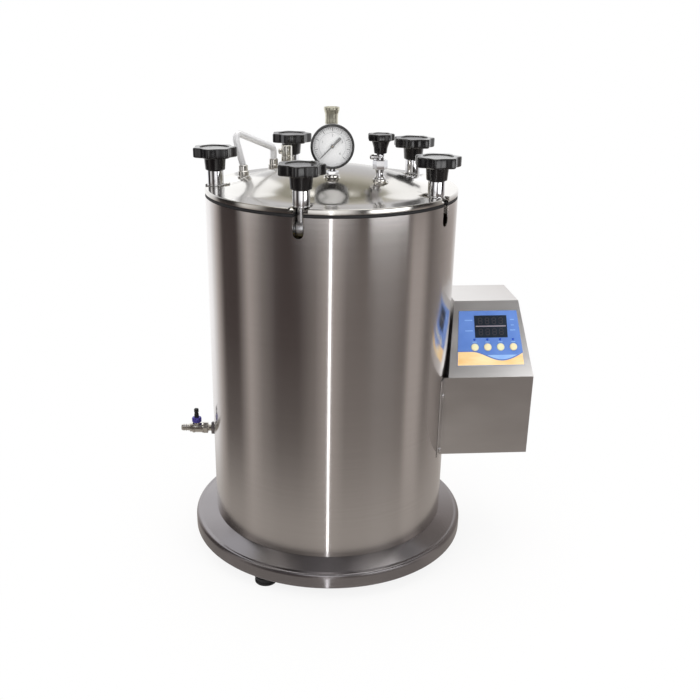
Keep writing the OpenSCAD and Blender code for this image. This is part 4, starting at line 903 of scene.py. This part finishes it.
coil_count, coil_r, coil_low, coil_rise = 11, 5.1, 10.6, 40.6
coils = np.linspace(0, 2 * np.pi * coil_count, coil_count * 24)
coil = [coil_r * np.cos(coils), coil_r * np.sin(coils), coil_low + coil_rise * coils / coils[-1]]
coil_path = np.array(safety_at) + np.stack(coil, -1) * mm
spring = fit(piece("safety_spring_wound", [tube(coil_path, 1.1 * mm, 10)], zinc), "lid", "steel", "safety_valve_spring")
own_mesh(spring)

# ---------------------------------------------------------------- release valve
# A small needle valve: chromed hexagon body with a side outlet, opened by a little star knob.

release_at = Vector((axis_x + 72 * mm, -69 * mm, float(dome_height(math.hypot(72, 69) * mm)) + 3 * mm))
neck_part = rounded([(0, -9), (4.9, -9), (4.9, 0), (8.5, 0), (8.5, 2.6), (6.6, 4), (6.2, 9), (7, 14), (7, 28),
                     (6, 28.6), (6, 31), (5.4, 31.8), (5.4, 33), (6, 33.8), (6, 37), (3.6, 37), (3.6, 20), (0, 20)],
                    [0.4, 0.2, 0.5, 0.8, 1.5, 2, 1, 0.4, 0.4, 0.5, 0.4, 0.4, 0.5, 0.8, 0.4, 0.2], 3) * mm
hexagon = rounded([(0, 14), (11.2, 14), (11.2, 28), (0, 28)], [1.4, 1.4], 4) * mm
outlet = rounded([(0, 4), (3, 4), (3, 9), (4, 10), (4, 14), (2, 15.8), (0, 15.8)], [0.2, 0.5, 0.5, 1.6, 0.6], 5) * mm
port_at = release_at + Vector((0, 0, 32 * mm))
valve = piece("release_valve_turned", [lathe(neck_part, release_at, columns=48), lathe(hexagon, release_at, columns=6),
                                       lathe(outlet, port_at, left, 32)], chrome)
fit(valve, "lid", "chrome", "release_valve_body")
knob_at = release_at.z
small_head = star_head(release_at, knob_at + 56 * mm, knob_at + 66 * mm, 20.4 * mm, 3.4 * mm, 12.5 * mm, 0.8 * mm, 112)
small_skirt = rounded([(0, 37.6), (9.4, 37.6), (10.4, 46), (13.6, 56), (13.6, 58), (0, 58)], [1.4, 8, 2, 0.4], 6) * mm
small_stem = rounded([(0, 21), (3.5, 21), (3.5, 38.4), (0, 38.4)], [0.2, 0.1], 2) * mm
knob = piece("release_knob_moulded", [small_head, lathe(small_skirt, release_at, columns=64)], phenolic, 50)
fit(knob, "release_knob", "black_bakelite", "release_valve_knob")
fit(piece("release_stem_turned", [lathe(small_stem, release_at, columns=24)], chrome), "release_knob", "chrome")

# ---------------------------------------------------------------- air vent
# A plated fitting with a knuckle on its side, beside the handle.

vent_at = Vector((axis_x - 75 * mm, 115 * mm, float(dome_height(math.hypot(75, 115) * mm)) + 5 * mm))
vent_part = rounded([(0, -9), (4.9, -9), (4.9, 0), (8, 0), (8, 8), (9.5, 8.6), (9.5, 15), (8.9, 15.8), (8.9, 17.2),
                     (9.5, 18), (9.5, 34), (0, 34)],
                    [0.4, 0.2, 0.2, 0.3, 0.5, 0.4, 0.4, 0.4, 0.4, 1.8], 4) * mm
hexagon = rounded([(0, 0), (10.5, 0), (10.5, 8), (0, 8)], [0.8, 1.2], 4) * mm
knuckle = rounded([(2, 8), (4.4, 8), (4.4, 12.6), (3.8, 14), (2, 14)], [0.2, 0.5, 0.4], 4) * mm
knuckle_way = (-math.cos(math.radians(15)), -math.sin(math.radians(15)), 0)
vent = piece("vent_fitting_turned", [lathe(vent_part, vent_at, columns=64), lathe(hexagon, vent_at, columns=6),
                                     lathe(knuckle, vent_at + Vector((0, 0, 24 * mm)), knuckle_way, 32, True)], nickel)
fit(vent, "lid", "satin_steel", "vent_fitting")

# ---------------------------------------------------------------- inside the vessel
# A drawn stainless vessel with a polished bore, and what it holds: heater, probe, grid and basket.
# Mineral wool fills the gap to the jacket, and lugs welded under the flange carry the clamps.

# Bright-rolled stainless, soft mirror with rolling marks round the bore
bright = mottle(finish("stainless_bright_rolled", "c9c5c1", 0.24, 1.0),
                12.0, ("c5c1bd", "cdc9c5"), (0.22, 0.27), 0.0, (0.3, 0.3, 10))
dress(bright, "vessel", "temperature_probe", "support_grid")
dress(zinc, "clamp_lugs", "foot_bolts")
# Nickel alloy heater sheath, oxidised dark by heat
sheath = mottle(finish("heater_sheath_oxidised", "4c4845", 0.5, 0.8),
                90.0, ("3b3735", "5f5a56"), (0.4, 0.62), 0.00005)
dress(sheath, "heater_element")
# Mineral wool: dull buff with 4 mm tufts
wool = mottle(finish("mineral_wool", "b9a77c", 0.95),
              250.0, ("a3906a", "cdbd92"), (0.9, 1.0), 0.0015, (1, 1, 1), 8.0)
dress(wool, "insulation")
dress(bright, "basket")

# ---------------------------------------------------------------- studio
# A plain white floor and a half ring of grey boards that only reflections see, so that the steel has
# something to mirror; three soft lamps and a white surround.

scene = bpy.context.scene
scene.view_settings.view_transform = "Standard"


def stage_object(name, points, quads, material):
    mesh = bpy.data.meshes.new(name)
    mesh.from_pydata(points.tolist(), [], quads.tolist())
    mesh.materials.append(material)
    made = bpy.data.objects.new(name, mesh)
    scene.collection.objects.link(made)
    return made


paper = bpy.data.materials.new("studio_paper")
paper.use_nodes = True
tree = paper.node_tree
tree.nodes.clear()
rays = node(tree, "LightPath")
matt = node(tree, "BsdfDiffuse", {"Color": linear("e8e6e4")})["BSDF"]
lit = node(tree, "Emission", {"Color": (1, 1, 1, 1), "Strength": 1.0})["Emission"]
away = node(tree, "VectorMath", {0: node(tree, "TexCoord")["Object"]}, operation="LENGTH")["Value"]
plain_part = node(tree, "MapRange", {"Value": away, 1: 0.25, 2: 0.6, 3: 0.86, 4: 1.0})["Result"]
seen = node(tree, "MixShader", {"Fac": plain_part, 1: matt, 2: lit})["Shader"]
mixed = node(tree, "MixShader", {"Fac": rays["Is Camera Ray"], 1: matt, 2: seen})["Shader"]
node(tree, "OutputMaterial", {"Surface": mixed})
floor_points = np.array([[-30, -30, 0], [30, -30, 0], [30, 30, 0], [-30, 30, 0]], float)
stage_object("studio_floor", floor_points, np.array([[0, 1, 2, 3]]), paper)

# Boards round the front: from a line t round the jacket each runs out over the floor along the way
# that the jacket there turns a level sight line, 2t, and then stands up. So each upright band of the
# jacket mirrors one tone from top to bottom. Their upper part is cooler, for the fittings on the lid.
boards = bpy.data.materials.new("studio_boards")
boards.use_nodes = True
tree = boards.node_tree
tree.nodes.clear()
place = node(tree, "SeparateXYZ", {"Vector": node(tree, "TexCoord")["UV"]})
# Four plain greys of card: two dark boards on the left with a pale slot between them, mid ones on the right
dark_card, mid_card, pale_card, white_card = "423a38", "6b6460", "a29a95", "efeeee"
low_tones = [
    (0.1, white_card), (0.15, pale_card), (0.18, dark_card), (0.24, dark_card), (0.28, pale_card), (0.32, mid_card),
    (0.36, dark_card), (0.42, dark_card), (0.46, mid_card), (0.5, pale_card), (0.54, mid_card), (0.7, mid_card),
    (0.72, pale_card), (0.75, pale_card), (0.78, mid_card), (0.9, pale_card), (1.0, white_card)]
high_tones = [
    (0.0, "ffffff"), (0.14, "e4e4e6"), (0.17, "2a2726"), (0.24, "1d1b1b"), (0.27, "d6d4d2"), (0.31, "b9b6b3"),
    (0.34, "4a4644"), (0.4, "2e2b2b"), (0.44, "e6e5e5"), (0.5, "ffffff"), (0.54, "dcdad9"), (0.57, "3c3938"),
    (0.68, "2e2c2b"), (0.7, "252323"), (0.77, "262323"), (0.81, "a5a19e"), (0.86, "dededf"), (1.0, "ffffff")]
low_tone = node(tree, "ValToRGB", {"Fac": place["X"]}, stops=low_tones)["Color"]
high_tone = node(tree, "ValToRGB", {"Fac": place["X"]}, stops=high_tones)["Color"]
near_foot = node(tree, "MapRange", {"Value": place["Y"], 1: 0.15, 2: 0.62, 3: 0.85, 4: 0.0})["Result"]
floor_tone = node(tree, "MixRGB", {"Fac": near_foot, "Color1": low_tone, "Color2": linear("9c9690")})["Color"]
rise_share = node(tree, "MapRange", {"Value": place["Y"], 1: 0.742, 2: 0.765})["Result"]
# A bright rail on the right above the low boards puts a line of light on the fold of the box
rail_white = (2.6, 2.6, 2.6, 1)
rail_high = [(0.753, "000000"), (0.758, "ffffff"), (0.8, "ffffff"), (0.805, "000000")]
rail_wide = [(0.585, "000000"), (0.6, "ffffff"), (0.69, "ffffff"), (0.7, "000000")]
rail_high = node(tree, "ValToRGB", {"Fac": place["Y"]}, stops=rail_high)["Color"]
rail_wide = node(tree, "ValToRGB", {"Fac": place["X"]}, stops=rail_wide)["Color"]
rail = node(tree, "Math", {0: rail_high, 1: rail_wide}, operation="MULTIPLY")["Value"]
upper = node(tree, "MixRGB", {"Fac": rise_share, "Color1": floor_tone, "Color2": high_tone})["Color"]
tone = node(tree, "MixRGB", {"Fac": rail, "Color1": upper, "Color2": rail_white})["Color"]
card = node(tree, "Emission", {"Color": tone, "Strength": 1.28})["Emission"]
node(tree, "OutputMaterial", {"Surface": card})

board_run, board_h = 0.5, 1.05


def boards_surface(turns, rows_floor=14, rows_wall=22, lift=0.0):
    """P(t) + s d(2t) over the floor for s up to the run, then straight up: P is on the jacket, d is a unit vector."""
    start = np.stack([axis_x + jacket_r * np.sin(turns), -jacket_r * np.cos(turns)], -1)
    way = np.stack([np.sin(2 * turns), -np.cos(2 * turns)], -1)
    run = np.concatenate([np.linspace(0.055, board_run - lift, rows_floor), np.full(rows_wall, board_run - lift)])
    high = np.concatenate([np.full(rows_floor, 0.003 + lift), np.linspace(0.003 + lift, board_h, rows_wall + 1)[1:]])
    flat = start[None] + run[:, None, None] * way[None]
    up = np.concatenate([np.linspace(0, 0.5, rows_floor), np.linspace(0.5, 1, rows_wall + 1)[1:]])
    return np.concatenate([flat, np.broadcast_to(high[:, None, None], flat.shape[:2] + (1,))], -1), up


def reflected_only(name, turns, material, lift=0.0):
    """Boards that light and shadow pass through and only reflections show, with U round them and V up them."""
    points, up = boards_surface(turns, lift=lift)
    vertices, quads = grid(points, wrap_columns=False)
    made = stage_object(name, vertices, quads, material)
    index = np.zeros(len(made.data.loops), np.int32)
    made.data.loops.foreach_get("vertex_index", index)
    share = (turns[index % len(turns)] + math.pi / 2) / math.pi
    made.data.uv_layers.new(name="round").data.foreach_set("uv", np.stack([share, up[index // len(turns)]], -1).ravel())
    for unseen in ("visible_camera", "visible_diffuse", "visible_shadow", "visible_transmission"):
        setattr(made, unseen, False)


reflected_only("studio_wall", np.linspace(-math.pi / 2, math.pi / 2, 241), boards)

# A thin strip light on the boards, just left of the middle: the one sharp white line down the jacket
strip = bpy.data.materials.new("studio_strip")
strip.use_nodes = True
tree = strip.node_tree
tree.nodes.clear()
node(tree, "OutputMaterial", {"Surface": node(tree, "Emission", {"Color": (1, 1, 1, 1), "Strength": 3.2})["Emission"]})
reflected_only("studio_strip_board", np.radians(np.linspace(-0.85, 0.1, 3)), strip, lift=0.004)

world = bpy.data.worlds.new("studio_world")
scene.world = world
world.use_nodes = True
tree = world.node_tree
tree.nodes.clear()
rays = node(tree, "LightPath")
toward = node(tree, "SeparateXYZ", {"Vector": node(tree, "TexCoord")["Generated"]})
sky_tones = [(0.0, "ffffff"), (0.13, "dcdcde"), (0.35, "d0ced0"), (0.5, "c9c5ba"), (0.62, "8f8b7b"),
             (0.78, "868274"), (0.9, "b5afa4"), (1.0, "cfcac4")]
behind = node(tree, "ValToRGB", {"Fac": toward["Z"]}, stops=sky_tones)["Color"]
front_tones = [(0.0, "ffffff"), (0.5, "d8d6d2"), (0.68, "8d8683"), (0.86, "6c6664"), (0.97, "504e50")]
ahead = node(tree, "ValToRGB", {"Fac": toward["Z"]}, stops=front_tones)["Color"]
facing = node(tree, "MapRange", {"Value": toward["Y"], 1: -0.02, 2: -0.2})["Result"]
sky = node(tree, "MixRGB", {"Fac": facing, "Color1": behind, "Color2": ahead})["Color"]
plain = node(tree, "Background", {"Color": (1, 1, 1, 1), "Strength": 1.0})["Background"]
mirrored = node(tree, "Background", {"Color": sky, "Strength": 1.0})["Background"]
first = node(tree, "MixShader", {"Fac": rays["Is Glossy Ray"], 1: plain, 2: mirrored})["Shader"]
clear = node(tree, "Math", {0: rays["Is Camera Ray"], 1: rays["Is Transmission Ray"]}, operation="MAXIMUM")["Value"]
whole = node(tree, "MixShader", {"Fac": clear, 1: first, 2: plain})["Shader"]
node(tree, "OutputWorld", {"Surface": whole})


def lamp(name, at, aim, size, power, colour="ffffff", height=None):
    """A soft rectangular lamp at a place, turned to face a point."""
    light = bpy.data.lights.new(name, "AREA")
    light.shape, light.size, light.size_y = "RECTANGLE", size, height or size
    light.energy, light.color = power, linear(colour)[:3]
    made = bpy.data.objects.new(name, light)
    scene.collection.objects.link(made)
    made.location = at
    made.rotation_euler = (Vector(aim) - Vector(at)).to_track_quat("-Z", "Y").to_euler()
    return made


lamp("overhead_box", (0.1, 0.6, 2.4), (0, 0, 0.4), 1.6, 15)
lamp("left_box", (-2.0, -1.0, 1.6), (0, 0, 0.4), 1.0, 14)
lamp("right_box", (1.9, -1.6, 1.5), (0.1, 0, 0.4), 1.0, 16)

# Camera: in front, a little left of the middle, looking down 22 degrees
view = bpy.data.cameras.new("camera")
view.lens, view.shift_x, view.shift_y = 46.39, 0.0442, 0.0413
eye = bpy.data.objects.new("camera", view)
scene.collection.objects.link(eye)
eye_at, look_down, roll = (-0.0563, -1.4439, 0.868), 0.384, 0.007
aimed = Matrix.Rotation(math.pi / 2 - look_down, 4, "X") @ Matrix.Rotation(roll, 4, "Z")
eye.matrix_world = Matrix.Translation(eye_at) @ aimed
scene.camera = eye
